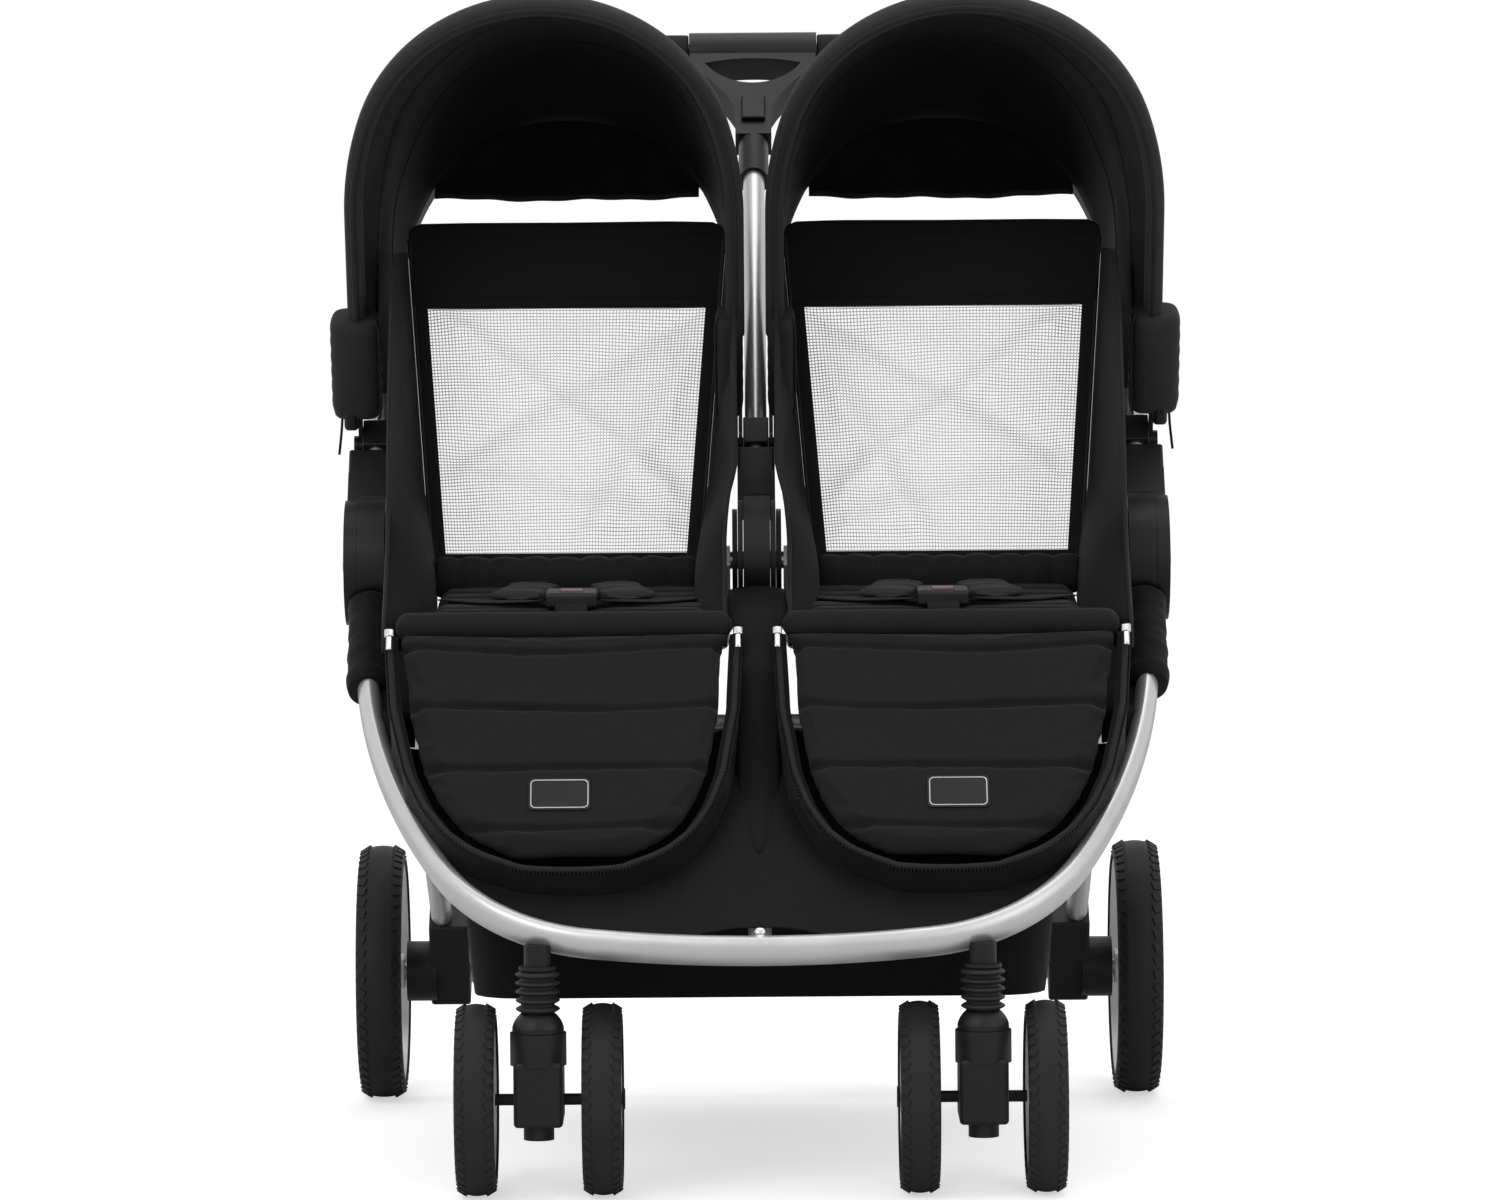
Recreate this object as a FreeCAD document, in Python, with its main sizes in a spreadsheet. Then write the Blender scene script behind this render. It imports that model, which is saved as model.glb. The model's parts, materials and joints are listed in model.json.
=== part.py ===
import FreeCAD, Part
import math
import os
import Sketcher

# Side by side double stroller. X is the width, Y the depth with the front at -Y, and Z is up.
# The origin lies on the ground under the middle of the stroller. All lengths are millimetres.
# A ray is a straight line from the hub axis in the side view, and pieces that swing about the
# hubs are drawn with the hub axis at the origin and their ray along +Z, then turned into place.

document = FreeCAD.newDocument("stroller")
sheet = document.addObject("Spreadsheet::Sheet", "sizes")

SIZES = {
    # Hubs that the frame folds about
    "hub_height": 517,
    "hub_radius": 58,
    "hub_inner_face": 322,
    "hub_plate_gap": 0.4,
    "rear_plate_width": 10,
    "front_plate_width": 24.6,
    "push_plate_width": 11.6,
    "push_plate_radius": 56,
    "rear_plate_radius": 46,
    "centre_core_half_width": 12,
    "centre_plate_width": 4.6,
    "pin_radius": 8,
    "running_gap": 0.05,
    # Oval frame tube
    "tube_depth": 30,
    "tube_width": 20,
    "tube_wall": 1.6,
    "socket_wall": 3,
    "socket_reach": 95,
    "swing_socket_reach": 120,
    "swing_socket_start": 61,
    "tube_insert": 66,
    "frame_half_width": 345,
    # Front hoop that carries the casters
    "front_slope": 36.3,
    "front_reach": 513.6,
    "hoop_side_radius": 620,
    "hoop_side_turn": 28,
    "hoop_corner_radius": 173,
    "hoop_corner_turn": 54,
    "crossbar_reach": 222,
    "crossbar_radius": 8,
    # Push tubes and handle
    "push_slope": 46.16,
    "push_tube_end": 500,
    "grip_reach": 629.5,
    "inner_tube_depth": 24,
    "inner_tube_width": 14,
    "inner_tube_wall": 1.5,
    "inner_tube_start": 395,
    "collar_length": 44,
    "collar_wall": 4,
    "handle_slide_gap": 0.3,
    "handle_corner_radius": 62,
    "grip_radius": 18,
    "grip_cover_radius": 20,
    "grip_cover_width": 121,
    "grip_corner_gap": 6,
    "bracket_thickness": 30,
    "bracket_drop": 118,
    "bracket_wall": 15,
    "bracket_neck": 34,
    "bracket_side_radius": 150,
    "bracket_arm_drop": 30,
    "bracket_window_depth": 26,
    "bracket_post_depth": 13,
    "button_width": 22,
    "button_length": 30,
    "button_depth": 5,
    "button_proud": 5,
    "button_gap": 0.3,
    "button_travel": 3,
    # Canopies
    "pivot_reach": 139.3,
    "canopy_pin_radius": 5,
    "front_bow_reach": 435,
    "rear_bow_reach": 360,
    "bow_arch_height": 205,
    "bow_side_radius": 300,
    "bow_band_width": 15,
    "bow_band_thickness": 3.6,
    "bow_gap": 0.5,
    "bow_boss_radius": 10,
    "front_bow_angle": 67.7,
    "rear_bow_angle": 7,
    "clamp_half_length": 15,
    "clamp_wall": 4,
    "clamp_outer_wall": 2,
    "clamp_centre_wall": 1.6,
    "clamp_cap_width": 4,
    "clamp_edge": 1.4,
    "clamp_centre_edge": 1.2,
    "bow_pin_proud": 1,
    "canopy_wall": 3,
    "canopy_gap": 1.2,
    "canopy_hem": 126,
    "canopy_front_inset": 1.6,
    "canopy_rear_inset": 2,
    "hood_sections": 4,
    "flap_foot_height": 838,
    "flap_inset": 2,
    "bow_pad_start": 24,
    "bow_pad_length": 98,
    "bow_pad_depth": 40,
    "bow_pad_thickness": 12,
    "bow_inner_pad_thickness": 2.2,
    "bow_pad_lap": 1,
    # Rear legs and axle
    "rear_slope": 58.4,
    "axle_reach": 469,
    "leg_top_inset": 27,
    "leg_foot_inset": 52,
    "centre_leg_radius": 11,
    "leg_foot_reach": 436,
    "axle_tube_radius": 11,
    "axle_tube_wall": 1.6,
    "housing_radius": 28,
    "housing_inner_face": 301,
    "housing_outer_face": 329,
    "bracket_inner_face": 270,
    "axle_pin_radius": 8,
    # Rear wheels
    "rear_wheel_radius": 117.5,
    "rear_wheel_width": 42,
    "rear_wheel_centre": 351.5,
    "rear_rim_radius": 103,
    "rear_shoulder": 12,
    # Front casters
    "caster_spacing": 189,
    "caster_setback": 404,
    "caster_trail": 30,
    "front_wheel_radius": 82,
    "front_wheel_width": 34,
    "front_wheel_offset": 54,
    "front_rim_radius": 68,
    "front_shoulder": 10,
    "front_axle_radius": 5,
    "saddle_radius": 11.5,
    "saddle_top": 218,
    "guide_radius": 8,
    "guide_bottom": 168,
    "stem_top": 184,
    "stem_bore_bottom": 153,
    "swivel_pin_radius": 7,
    "swivel_pin_bottom": 100,
    "swivel_gap": 0.4,
    "bellows_top": 197,
    "bellows_bottom": 160,
    "bellows_radius": 19,
    "bellows_bore": 12,
    "bellows_ribs": 3,
    "suspension_travel": 12,
    "dome_radius": 22,
    "dome_bottom": 144,
    "collar_radius": 24,
    "collar_bottom": 116,
    "fork_width": 42,
    "fork_shoulder": 64,
    "fork_bottom": 52,
    "stub_radius": 13,
    # Seats
    "seat_side_inner": 30,
    "seat_side_outer": 296,
    "seat_plate_inner": 24,
    "seat_plate_outer": 297.5,
    "seat_plate_width": 4,
    "seat_front": 200,
    "seat_rear": 14,
    "seat_corner_radius": 24,
    "seat_post_radius": 4,
    "seat_post_inset": 36,
    "seat_rod_radius": 5,
    "seat_rod_height_front": 455,
    "seat_rod_height_rear": 468,
    "seat_pad_width": 262,
    "seat_pad_length": 204,
    "seat_pad_rear": 11,
    "seat_pad_thickness": 24,
    "seat_pad_gap": 0.4,
    "seat_channels": 6,
    "channel_depth": 4,
    "channel_steps": 6,
    "side_draw_in": 5,
    "crown": 5,
    "side_bulge": 2,
    "pad_end_share": 0.5,
    "calf_straight_share": 0.45,
    "calf_pad_centre": 171,
    "calf_pad_width": 292,
    "calf_pad_foot_width": 150,
    "calf_pad_top_y": 197,
    "calf_pad_top_height": 467.4,
    "calf_pad_length": 248,
    "calf_pad_slope": 51.2,
    "calf_pad_thickness": 20,
    "calf_channels": 4,
    "badge_width": 53,
    "badge_height": 32,
    "badge_thickness": 1.6,
    "badge_corner": 4,
    "badge_place": 182,
    "panel_thickness": 3,
    "panel_inset": 12,
    "panel_top": 240,
    "panel_ridge_half": 13,
    "panel_ridge_foot": 85,
    "panel_tube_gap": 0.3,
    # Backrests
    "bight_y": 22,
    "bight_height": 500,
    "back_slope": 66,
    "back_length": 345,
    "back_centre": 172,
    "back_width_top": 292,
    "back_width_bottom": 240,
    "back_thickness": 8,
    "back_side_border": 13,
    "back_bottom_border": 22,
    "back_band_height": 78,
    "back_sleeve_radius": 7,
    "back_corner": 14,
    "net_thickness": 1.2,
    "net_columns": 15,
    "net_rows": 16,
    "net_cord": 3,
    "hinge_rod_radius": 4,
    "wing_thickness": 2.5,
    "wing_gap": 0.3,
    "wing_foot": 566,
    "wing_top": 790,
    "wing_front": 92,
    "wing_rear": 100,
    # Harness and buckle
    "harness_pad_width": 44,
    "harness_pad_length": 78,
    "harness_pad_thickness": 8,
    "harness_spacing": 44,
    "buckle_width": 46,
    "buckle_length": 38,
    "buckle_thickness": 14,
    "buckle_place": 164,
    "buckle_pocket": 10,
    "buckle_button_width": 20,
    "buckle_button_travel": 3,
    "harness_turn": 14,
    "harness_place": 62,
    # Basket
    "basket_half_width": 262,
    "basket_front": 268,
    "basket_front_foot": 250,
    "basket_floor": 152,
    "basket_height": 138,
    "basket_wall": 3,
    "basket_corner_radius": 40,
    # Brake pedal
    "pedal_width": 86,
    "pedal_length": 62,
    "pedal_thickness": 12,
    "pedal_offset": 120,
    "pedal_hub_radius": 16,
}

for row, (name, value) in enumerate(SIZES.items(), start=1):
    sheet.set("A%d" % row, name)
    sheet.set("B%d" % row, str(value))
    sheet.setAlias("B%d" % row, name)
document.recompute()

PARTS = []


def number(text):
    """The value of an expression written on the sheet's names, in millimetres or degrees."""
    value = sheet.evalExpression(text)
    return float(getattr(value, "Value", value))


def add(kind, name):
    return document.addObject(kind, name)


def bind(item, **expressions):
    for prop, text in expressions.items():
        item.setExpression(prop.replace("__", "."), text)
    return item


def base_at(item, x="0", y="0", z="0"):
    return bind(item, Placement__Base__x=x, Placement__Base__y=y, Placement__Base__z=z)


def box(name, length, width, height, x, y, z):
    """A block whose length, width and height lie along X, Y and Z from its low corner."""
    return base_at(bind(add("Part::Box", name), Length=length, Width=width, Height=height), x, y, z)


def rounded(block, radius):
    """The block with every edge rounded."""
    document.recompute()
    smooth = add("Part::Fillet", block.Name + "_rounded")
    smooth.Base = block
    size = number(radius)
    smooth.Edges = [(index + 1, size, size) for index in range(len(block.Shape.Edges))]
    return smooth


def cylinder_x(name, radius, length, x, y="0", z="0"):
    """A round bar along +X that starts at x, y, z."""
    bar = bind(add("Part::Cylinder", name), Radius=radius, Height=length)
    bar.Placement = FreeCAD.Placement(FreeCAD.Vector(), FreeCAD.Rotation(FreeCAD.Vector(0, 1, 0), 90))
    return base_at(bar, x, y, z)


def cylinder_z(name, radius, length, x="0", y="0", z="0"):
    return base_at(bind(add("Part::Cylinder", name), Radius=radius, Height=length), x, y, z)


def oval_bar(name, depth, width, length, x="0", z="0", lean="0"):
    """An oval bar along +Z, its depth along Y, that leans towards -X by an angle."""
    section = bind(add("Part::Ellipse", name + "_section"), MajorRadius="(%s) / 2" % depth, MinorRadius="(%s) / 2" % width)
    section.Placement = FreeCAD.Placement(FreeCAD.Vector(), FreeCAD.Rotation(FreeCAD.Vector(0, 0, 1), 90))
    bar = add("Part::Extrusion", name)
    bar.Base = section
    bar.DirMode = "Custom"
    bar.Dir = FreeCAD.Vector(0, 0, 1)
    bar.Solid = True
    bind(bar, LengthFwd=length)
    bar.Placement = FreeCAD.Placement(
        FreeCAD.Vector(number(x), 0, number(z)),
        FreeCAD.Rotation(FreeCAD.Vector(0, 1, 0), -number(lean)),
    )
    return bar


def fuse(name, pieces):
    joined = add("Part::MultiFuse", name)
    joined.Shapes = pieces
    return joined


def cut(name, base, tool):
    result = add("Part::Cut", name)
    result.Base = base
    result.Tool = tool
    return result


def mirrored(name, source):
    """The piece on the other side of the stroller."""
    copy = add("Part::Mirroring", name)
    copy.Source = source
    copy.Normal = FreeCAD.Vector(1, 0, 0)
    return copy


def group(name, pieces):
    """Separate solids of one kind that share a node."""
    together = add("Part::Compound", name)
    together.Links = pieces
    return together


def keep(item, label, placement=None):
    """Name a finished piece, put it in place and list it for writing."""
    item.Label = label
    if placement is not None:
        item.Placement = placement
    PARTS.append(item)
    return item


def shaped(label, shape, placement=None):
    """A piece whose surface is lofted or swept."""
    item = add("Part::Feature", label)
    item.Shape = shape
    return keep(item, label, placement)


def origin_plane(body, role):
    return [feature for feature in body.Origin.OriginFeatures if feature.Role == role][0]


def outline(body, name, role, corners, arcs=None):
    """A closed sketch through named corners. A side in arcs bulges to its left by that radius,
    or to its right where the radius is written with a minus."""
    sketch = body.newObject("Sketcher::SketchObject", name)
    sketch.AttachmentSupport = [(origin_plane(body, role), "")]
    sketch.MapMode = "FlatFace"
    arcs = arcs or {}
    points = [FreeCAD.Vector(number(a), number(b), 0) for a, b in corners]
    count = len(points)
    for index, start in enumerate(points):
        end = points[(index + 1) % count]
        if index in arcs:
            radius = number(arcs[index])
            half = (end - start).Length / 2
            side = FreeCAD.Vector(start.y - end.y, end.x - start.x, 0).normalize()
            rise = math.copysign(abs(radius) - math.sqrt(max(radius * radius - half * half, 0)), radius)
            sketch.addGeometry(Part.Arc(start, (start + end) * 0.5 + side * rise, end), False)
        else:
            sketch.addGeometry(Part.LineSegment(start, end), False)

    def end_of(index, point):
        return 1 if (sketch.getPoint(index, 1) - point).Length < 1e-6 else 2

    for index in range(count):
        following = (index + 1) % count
        corner = points[following]
        sketch.addConstraint(Sketcher.Constraint(
            "Coincident", index, end_of(index, corner), following, end_of(following, corner)))
    starts = [end_of(index, points[index]) for index in range(count)]
    constraints = []
    for index, point in enumerate(points):
        for kind, value, text in (("DistanceX", point.x, corners[index][0]), ("DistanceY", point.y, corners[index][1])):
            place = sketch.addConstraint(Sketcher.Constraint(kind, -1, 1, index, starts[index], value))
            constraints.append((place, text))
    for index, text in arcs.items():
        place = sketch.addConstraint(Sketcher.Constraint("Radius", index, abs(number(text))))
        constraints.append((place, "abs(%s)" % text))
    for place, text in constraints:
        sketch.setExpression("Constraints[%d]" % place, text)
    return sketch


def spun(body, name, corners, arcs=None):
    """A ring about the body's X axis, drawn as width and radius."""
    sketch = outline(body, name + "_profile", "XZ_Plane", corners, arcs)
    ring = body.newObject("PartDesign::Revolution", name)
    ring.Profile = sketch
    ring.ReferenceAxis = (sketch, ["H_Axis"])
    ring.Angle = 360
    return ring


def turned(body, name, corners, arcs=None):
    """A turned piece about the body's Z axis, drawn as radius and height."""
    sketch = outline(body, name + "_profile", "XZ_Plane", corners, arcs)
    ring = body.newObject("PartDesign::Revolution", name)
    ring.Profile = sketch
    ring.ReferenceAxis = (sketch, ["V_Axis"])
    ring.Angle = 360
    return ring


def plate(body, name, role, corners, thickness, arcs=None):
    """A pad of even thickness on both sides of an origin plane."""
    sketch = outline(body, name + "_profile", role, corners, arcs)
    pad = body.newObject("PartDesign::Pad", name)
    pad.Profile = sketch
    pad.Midplane = True
    bind(pad, Length=thickness)
    return pad


def through(body, name, role, corners, arcs=None):
    """A pocket cut right through on both sides of an origin plane."""
    sketch = outline(body, name + "_profile", role, corners, arcs)
    pocket = body.newObject("PartDesign::Pocket", name)
    pocket.Profile = sketch
    pocket.Type = "ThroughAll"
    pocket.Midplane = True
    return pocket


HUB = FreeCAD.Vector(0, 0, number("sizes.hub_height"))


def ray(angle, start=HUB):
    """The placement that turns +Z to an angle above +Y in the side view, at a point."""
    return FreeCAD.Placement(start, FreeCAD.Rotation(FreeCAD.Vector(1, 0, 0), angle - 90))


def on_ray(angle, reach, x=0.0, start=HUB):
    turn = math.radians(angle)
    return start + FreeCAD.Vector(x, reach * math.cos(turn), reach * math.sin(turn))


def along_x(x, y, z):
    return FreeCAD.Placement(FreeCAD.Vector(x, y, z), FreeCAD.Rotation())


PUSH_ANGLE = number("sizes.push_slope")
FRONT_ANGLE = 180 + number("sizes.front_slope")
REAR_ANGLE = -number("sizes.rear_slope")
GRIP = on_ray(PUSH_ANGLE, number("sizes.grip_reach"))
PIVOT = on_ray(PUSH_ANGLE, number("sizes.pivot_reach"))
AXLE = on_ray(REAR_ANGLE, number("sizes.axle_reach"))

# Layers of the outer hubs, from the inner face outwards
REAR_PLATE = "sizes.hub_inner_face"
FRONT_PLATE = "(sizes.hub_inner_face + sizes.rear_plate_width + sizes.hub_plate_gap)"
PUSH_PLATE = "(%s + sizes.front_plate_width + sizes.hub_plate_gap)" % FRONT_PLATE
HUB_OUTER_FACE = "(%s + sizes.push_plate_width)" % PUSH_PLATE
CENTRE_PUSH_PLATE = "(sizes.centre_core_half_width + sizes.hub_plate_gap)"
CENTRE_REAR_PLATE = "(%s + sizes.centre_plate_width + sizes.hub_plate_gap)" % CENTRE_PUSH_PLATE
CENTRE_OUTER_FACE = "(%s + sizes.centre_plate_width)" % CENTRE_REAR_PLATE
SOCKET_DEPTH = "(sizes.tube_depth + 2 * sizes.socket_wall)"
PIN_BORE = "sizes.pin_radius + sizes.running_gap"


def socket_block(name, x, width, start, end):
    """A rounded block round a tube that runs out along the ray."""
    block = box(name, width, SOCKET_DEPTH, "%s - %s" % (end, start), x, "-%s / 2" % SOCKET_DEPTH, start)
    return rounded(block, "sizes.socket_wall * 0.8")


def tube_hole(name, x, start, end, lean="0"):
    """The solid of a frame tube, cut out where one is seated."""
    return oval_bar(name, "sizes.tube_depth", "sizes.tube_width", "%s - (%s)" % (end, start), x, start, lean)


def hub_housings():
    """The three round housings on the front frame, with sockets for its tubes."""
    disc = cylinder_x("housing_disc", "sizes.hub_radius", "sizes.front_plate_width", FRONT_PLATE)
    block = socket_block("housing_socket", FRONT_PLATE, "sizes.front_plate_width", "sizes.hub_radius - 20", "sizes.socket_reach")
    hole = tube_hole("housing_tube_hole", "sizes.frame_half_width", "sizes.tube_insert", "sizes.socket_reach + 1")
    bore = cylinder_x("housing_bore", "sizes.pin_radius", "sizes.front_plate_width", FRONT_PLATE)
    right = cut("housing_right", fuse("housing_body", [disc, block]), fuse("housing_holes", [hole, bore]))
    core_width = "2 * sizes.centre_core_half_width"
    centre_disc = cylinder_x("centre_disc", "sizes.hub_radius", core_width, "-sizes.centre_core_half_width")
    centre_block = socket_block("centre_socket", "-sizes.centre_core_half_width", core_width, "sizes.hub_radius - 20", "sizes.socket_reach")
    centre_hole = tube_hole("centre_tube_hole", "0", "sizes.tube_insert", "sizes.socket_reach + 1")
    centre_bore = cylinder_x("centre_bore", "sizes.pin_radius", core_width, "-sizes.centre_core_half_width")
    centre = cut("housing_centre", fuse("centre_body", [centre_disc, centre_block]),
                 fuse("centre_holes", [centre_hole, centre_bore]))
    keep(group("hub_housings", [right, mirrored("housing_left", right), centre]), "hub_housings", ray(FRONT_ANGLE))


def fold_pins():
    """The three pins that the push frame and the rear legs turn on."""
    inner_end = "(sizes.seat_plate_outer - 1.5)"
    length = "%s - %s + 3" % (HUB_OUTER_FACE, inner_end)
    right = cylinder_x("pin_right", "sizes.pin_radius", length, inner_end, "0", "sizes.hub_height")
    centre_half = "(%s + 6)" % CENTRE_OUTER_FACE
    centre = cylinder_x("pin_centre", "sizes.pin_radius", "2 * " + centre_half, "-" + centre_half, "0", "sizes.hub_height")
    keep(group("fold_pins", [right, mirrored("pin_left", right), centre]), "fold_pins")


def push_knuckles():
    """The swinging halves of the hubs, each with the socket of a push tube."""
    disc = cylinder_x("push_disc", "sizes.push_plate_radius", "sizes.push_plate_width", PUSH_PLATE)
    socket_x = "(sizes.frame_half_width - sizes.tube_width / 2 - sizes.socket_wall + 1)"
    arm = box("push_arm", "sizes.push_plate_width", SOCKET_DEPTH, "sizes.swing_socket_start",
              PUSH_PLATE, "-%s / 2" % SOCKET_DEPTH, "sizes.swing_socket_start / 2")
    block = socket_block("push_socket", socket_x, "%s - %s" % (HUB_OUTER_FACE, socket_x),
                         "sizes.swing_socket_start", "sizes.swing_socket_reach")
    hole = tube_hole("push_tube_hole", "sizes.frame_half_width", "sizes.tube_insert", "sizes.swing_socket_reach + 1")
    bore = cylinder_x("push_bore", PIN_BORE, "sizes.push_plate_width", PUSH_PLATE)
    right = cut("push_knuckle_right", fuse("push_body", [disc, arm, block]), fuse("push_holes", [hole, bore]))
    half = "(%s + sizes.centre_plate_width)" % CENTRE_PUSH_PLATE
    plates = []
    for side, low in (("a", CENTRE_PUSH_PLATE), ("b", "-" + half)):
        plates.append(cylinder_x("centre_push_disc_" + side, "sizes.push_plate_radius - 2", "sizes.centre_plate_width", low))
        plates.append(box("centre_push_arm_" + side, "sizes.centre_plate_width", SOCKET_DEPTH, "sizes.swing_socket_start",
                          low, "-%s / 2" % SOCKET_DEPTH, "sizes.swing_socket_start / 2"))
    centre_block = socket_block("centre_push_socket", "-" + half, "2 * " + half, "sizes.swing_socket_start", "sizes.swing_socket_reach")
    centre_hole = tube_hole("centre_push_hole", "0", "sizes.tube_insert", "sizes.swing_socket_reach + 1")
    centre_bore = cylinder_x("centre_push_bore", PIN_BORE, "2 * " + half, "-" + half)
    centre = cut("push_knuckle_centre", fuse("centre_push_body", plates + [centre_block]),
                 fuse("centre_push_holes", [centre_hole, centre_bore]))
    keep(group("push_knuckles", [right, mirrored("push_knuckle_left", right), centre]), "push_knuckles", ray(PUSH_ANGLE))


def rear_knuckles():
    """The swinging rear plates of the hubs, each with the socket of a rear leg."""
    leg_x = "(sizes.frame_half_width - sizes.leg_top_inset)"
    lean = "atan2(sizes.leg_foot_inset - sizes.leg_top_inset; sizes.leg_foot_reach - sizes.tube_insert)"
    disc = cylinder_x("rear_disc", "sizes.rear_plate_radius", "sizes.rear_plate_width", REAR_PLATE)
    socket_x = "(%s - sizes.tube_width / 2 - sizes.socket_wall - 3)" % leg_x
    block = socket_block("rear_socket", socket_x, "%s + sizes.rear_plate_width - %s" % (REAR_PLATE, socket_x),
                         "sizes.rear_plate_radius - 8", "sizes.swing_socket_reach")
    hole = tube_hole("rear_leg_hole", leg_x, "sizes.tube_insert", "sizes.swing_socket_reach + 1", lean)
    bore = cylinder_x("rear_bore", PIN_BORE, "2 * sizes.rear_plate_width", REAR_PLATE + " - sizes.rear_plate_width")
    right = cut("rear_knuckle_right", fuse("rear_body", [disc, block]), fuse("rear_holes", [hole, bore]))
    straps = []
    strap_depth = "(2 * sizes.centre_leg_radius + 2 * sizes.socket_wall)"
    for side, low in (("a", CENTRE_REAR_PLATE), ("b", "-" + CENTRE_OUTER_FACE)):
        straps.append(cylinder_x("centre_rear_disc_" + side, "sizes.rear_plate_radius", "sizes.centre_plate_width", low))
        straps.append(box("centre_rear_strap_" + side, "sizes.centre_plate_width", strap_depth, "sizes.swing_socket_reach",
                          low, "-%s / 2" % strap_depth, "0"))
    spacer = box("centre_rear_spacer", "2 * " + CENTRE_OUTER_FACE, strap_depth, "sizes.swing_socket_reach - 88",
                 "-" + CENTRE_OUTER_FACE, "-%s / 2" % strap_depth, "88")
    centre_hole = cylinder_z("centre_leg_hole", "sizes.centre_leg_radius", "sizes.swing_socket_reach", "0", "0", "92")
    centre_bore = cylinder_x("centre_rear_bore", PIN_BORE, "2 * " + CENTRE_OUTER_FACE, "-" + CENTRE_OUTER_FACE)
    centre = cut("rear_knuckle_centre", fuse("centre_rear_body", straps + [spacer]),
                 fuse("centre_rear_holes", [centre_hole, centre_bore]))
    keep(group("rear_knuckles", [right, mirrored("rear_knuckle_left", right), centre]), "rear_knuckles", ray(REAR_ANGLE))


def push_tubes():
    """The three hollow tubes from the hubs up to the height collars."""
    tubes = []
    for name, x in (("right", "sizes.frame_half_width"), ("centre", "0"), ("left", "-sizes.frame_half_width")):
        length = "sizes.push_tube_end - sizes.tube_insert"
        skin = oval_bar("push_skin_" + name, "sizes.tube_depth", "sizes.tube_width", length, x, "sizes.tube_insert")
        core = oval_bar("push_core_" + name, "sizes.tube_depth - 2 * sizes.tube_wall",
                        "sizes.tube_width - 2 * sizes.tube_wall", length, x, "sizes.tube_insert")
        tubes.append(cut("push_tube_" + name, skin, core))
    keep(group("push_tubes", tubes), "push_tubes", ray(PUSH_ANGLE))


def height_collars():
    """The moulded collars at the tops of the push tubes that guide the handle's legs."""
    collars = []
    reach = "(sizes.push_tube_end + 8)"
    start = "(%s - sizes.collar_length)" % reach
    for name, x in (("right", "sizes.frame_half_width"), ("centre", "0"), ("left", "-sizes.frame_half_width")):
        outer = oval_bar("collar_outer_" + name, "sizes.tube_depth + 2 * sizes.collar_wall",
                         "sizes.tube_width + 2 * sizes.collar_wall", "sizes.collar_length", x, start)
        seat = oval_bar("collar_seat_" + name, "sizes.tube_depth", "sizes.tube_width",
                        "sizes.push_tube_end - %s" % start, x, start)
        guide = oval_bar("collar_guide_" + name, "sizes.inner_tube_depth + 2 * sizes.handle_slide_gap",
                         "sizes.inner_tube_width + 2 * sizes.handle_slide_gap", "sizes.collar_length", x, start)
        collars.append(cut("collar_" + name, outer, fuse("collar_holes_" + name, [seat, guide])))
    keep(group("height_collars", collars), "height_collars", ray(PUSH_ANGLE))


def canopy_clamps():
    """The clamps round the push tubes that hold the canopy pivots, each with its pins."""
    start = "(sizes.pivot_reach - sizes.clamp_half_length)"
    length = "2 * sizes.clamp_half_length"
    depth = "(sizes.tube_depth + 2 * sizes.clamp_wall)"
    outer_low = "(sizes.frame_half_width - sizes.tube_width / 2 - sizes.clamp_wall)"
    outer_high = "(sizes.frame_half_width + sizes.tube_width / 2 + sizes.clamp_outer_wall)"
    block = rounded(box("clamp_block", "%s - %s" % (outer_high, outer_low), depth, length,
                        outer_low, "-%s / 2" % depth, start), "sizes.clamp_edge")
    layer = "(sizes.bow_band_thickness + 2 * sizes.bow_gap)"
    pin = cylinder_x("clamp_pin", "sizes.canopy_pin_radius", "%s - %s + 2 * %s + 2 * sizes.bow_pin_proud" % (outer_high, outer_low, layer),
                     "%s - %s - sizes.bow_pin_proud" % (outer_low, layer), "0", "sizes.pivot_reach")
    cap = cylinder_x("clamp_cap", "sizes.bow_boss_radius - 1", "sizes.clamp_cap_width", "%s + %s" % (outer_high, layer),
                     "0", "sizes.pivot_reach")
    hole = tube_hole("clamp_hole", "sizes.frame_half_width", start + " - 1", "sizes.pivot_reach + sizes.clamp_half_length + 1")
    right = cut("clamp_right", fuse("clamp_body", [block, pin, cap]), hole)
    half = "(sizes.tube_width / 2 + sizes.clamp_centre_wall)"
    reach = "(%s + 2 * (sizes.bow_band_thickness + sizes.bow_gap) + 1)" % half
    centre_block = rounded(box("clamp_centre_block", "2 * " + half, depth, length, "-" + half, "-%s / 2" % depth, start), "sizes.clamp_centre_edge")
    centre_pin = cylinder_x("clamp_centre_pin", "sizes.canopy_pin_radius", "2 * " + reach, "-" + reach, "0", "sizes.pivot_reach")
    centre_hole = tube_hole("clamp_centre_hole", "0", start + " - 1", "sizes.pivot_reach + sizes.clamp_half_length + 1")
    centre = cut("clamp_centre", fuse("clamp_centre_body", [centre_block, centre_pin]), centre_hole)
    keep(group("canopy_clamps", [right, mirrored("clamp_left", right), centre]), "canopy_clamps", ray(PUSH_ANGLE))


def oval_wire(depth, width, centre, direction, side):
    """An oval section square to a direction, its width along a side direction."""
    normal = FreeCAD.Vector(direction).normalize()
    across = FreeCAD.Vector(side).normalize()
    deep = normal.cross(across).normalize()
    if depth >= width:
        curve = Part.Ellipse(centre + deep * (depth / 2), centre + across * (width / 2), centre)
    else:
        curve = Part.Ellipse(centre + across * (width / 2), centre + deep * (depth / 2), centre)
    return Part.Wire([curve.toShape()])


def swept(path, section):
    """A closed solid of one section carried along a path of tangent runs."""
    return path.makePipeShell([section], True, False)


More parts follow.
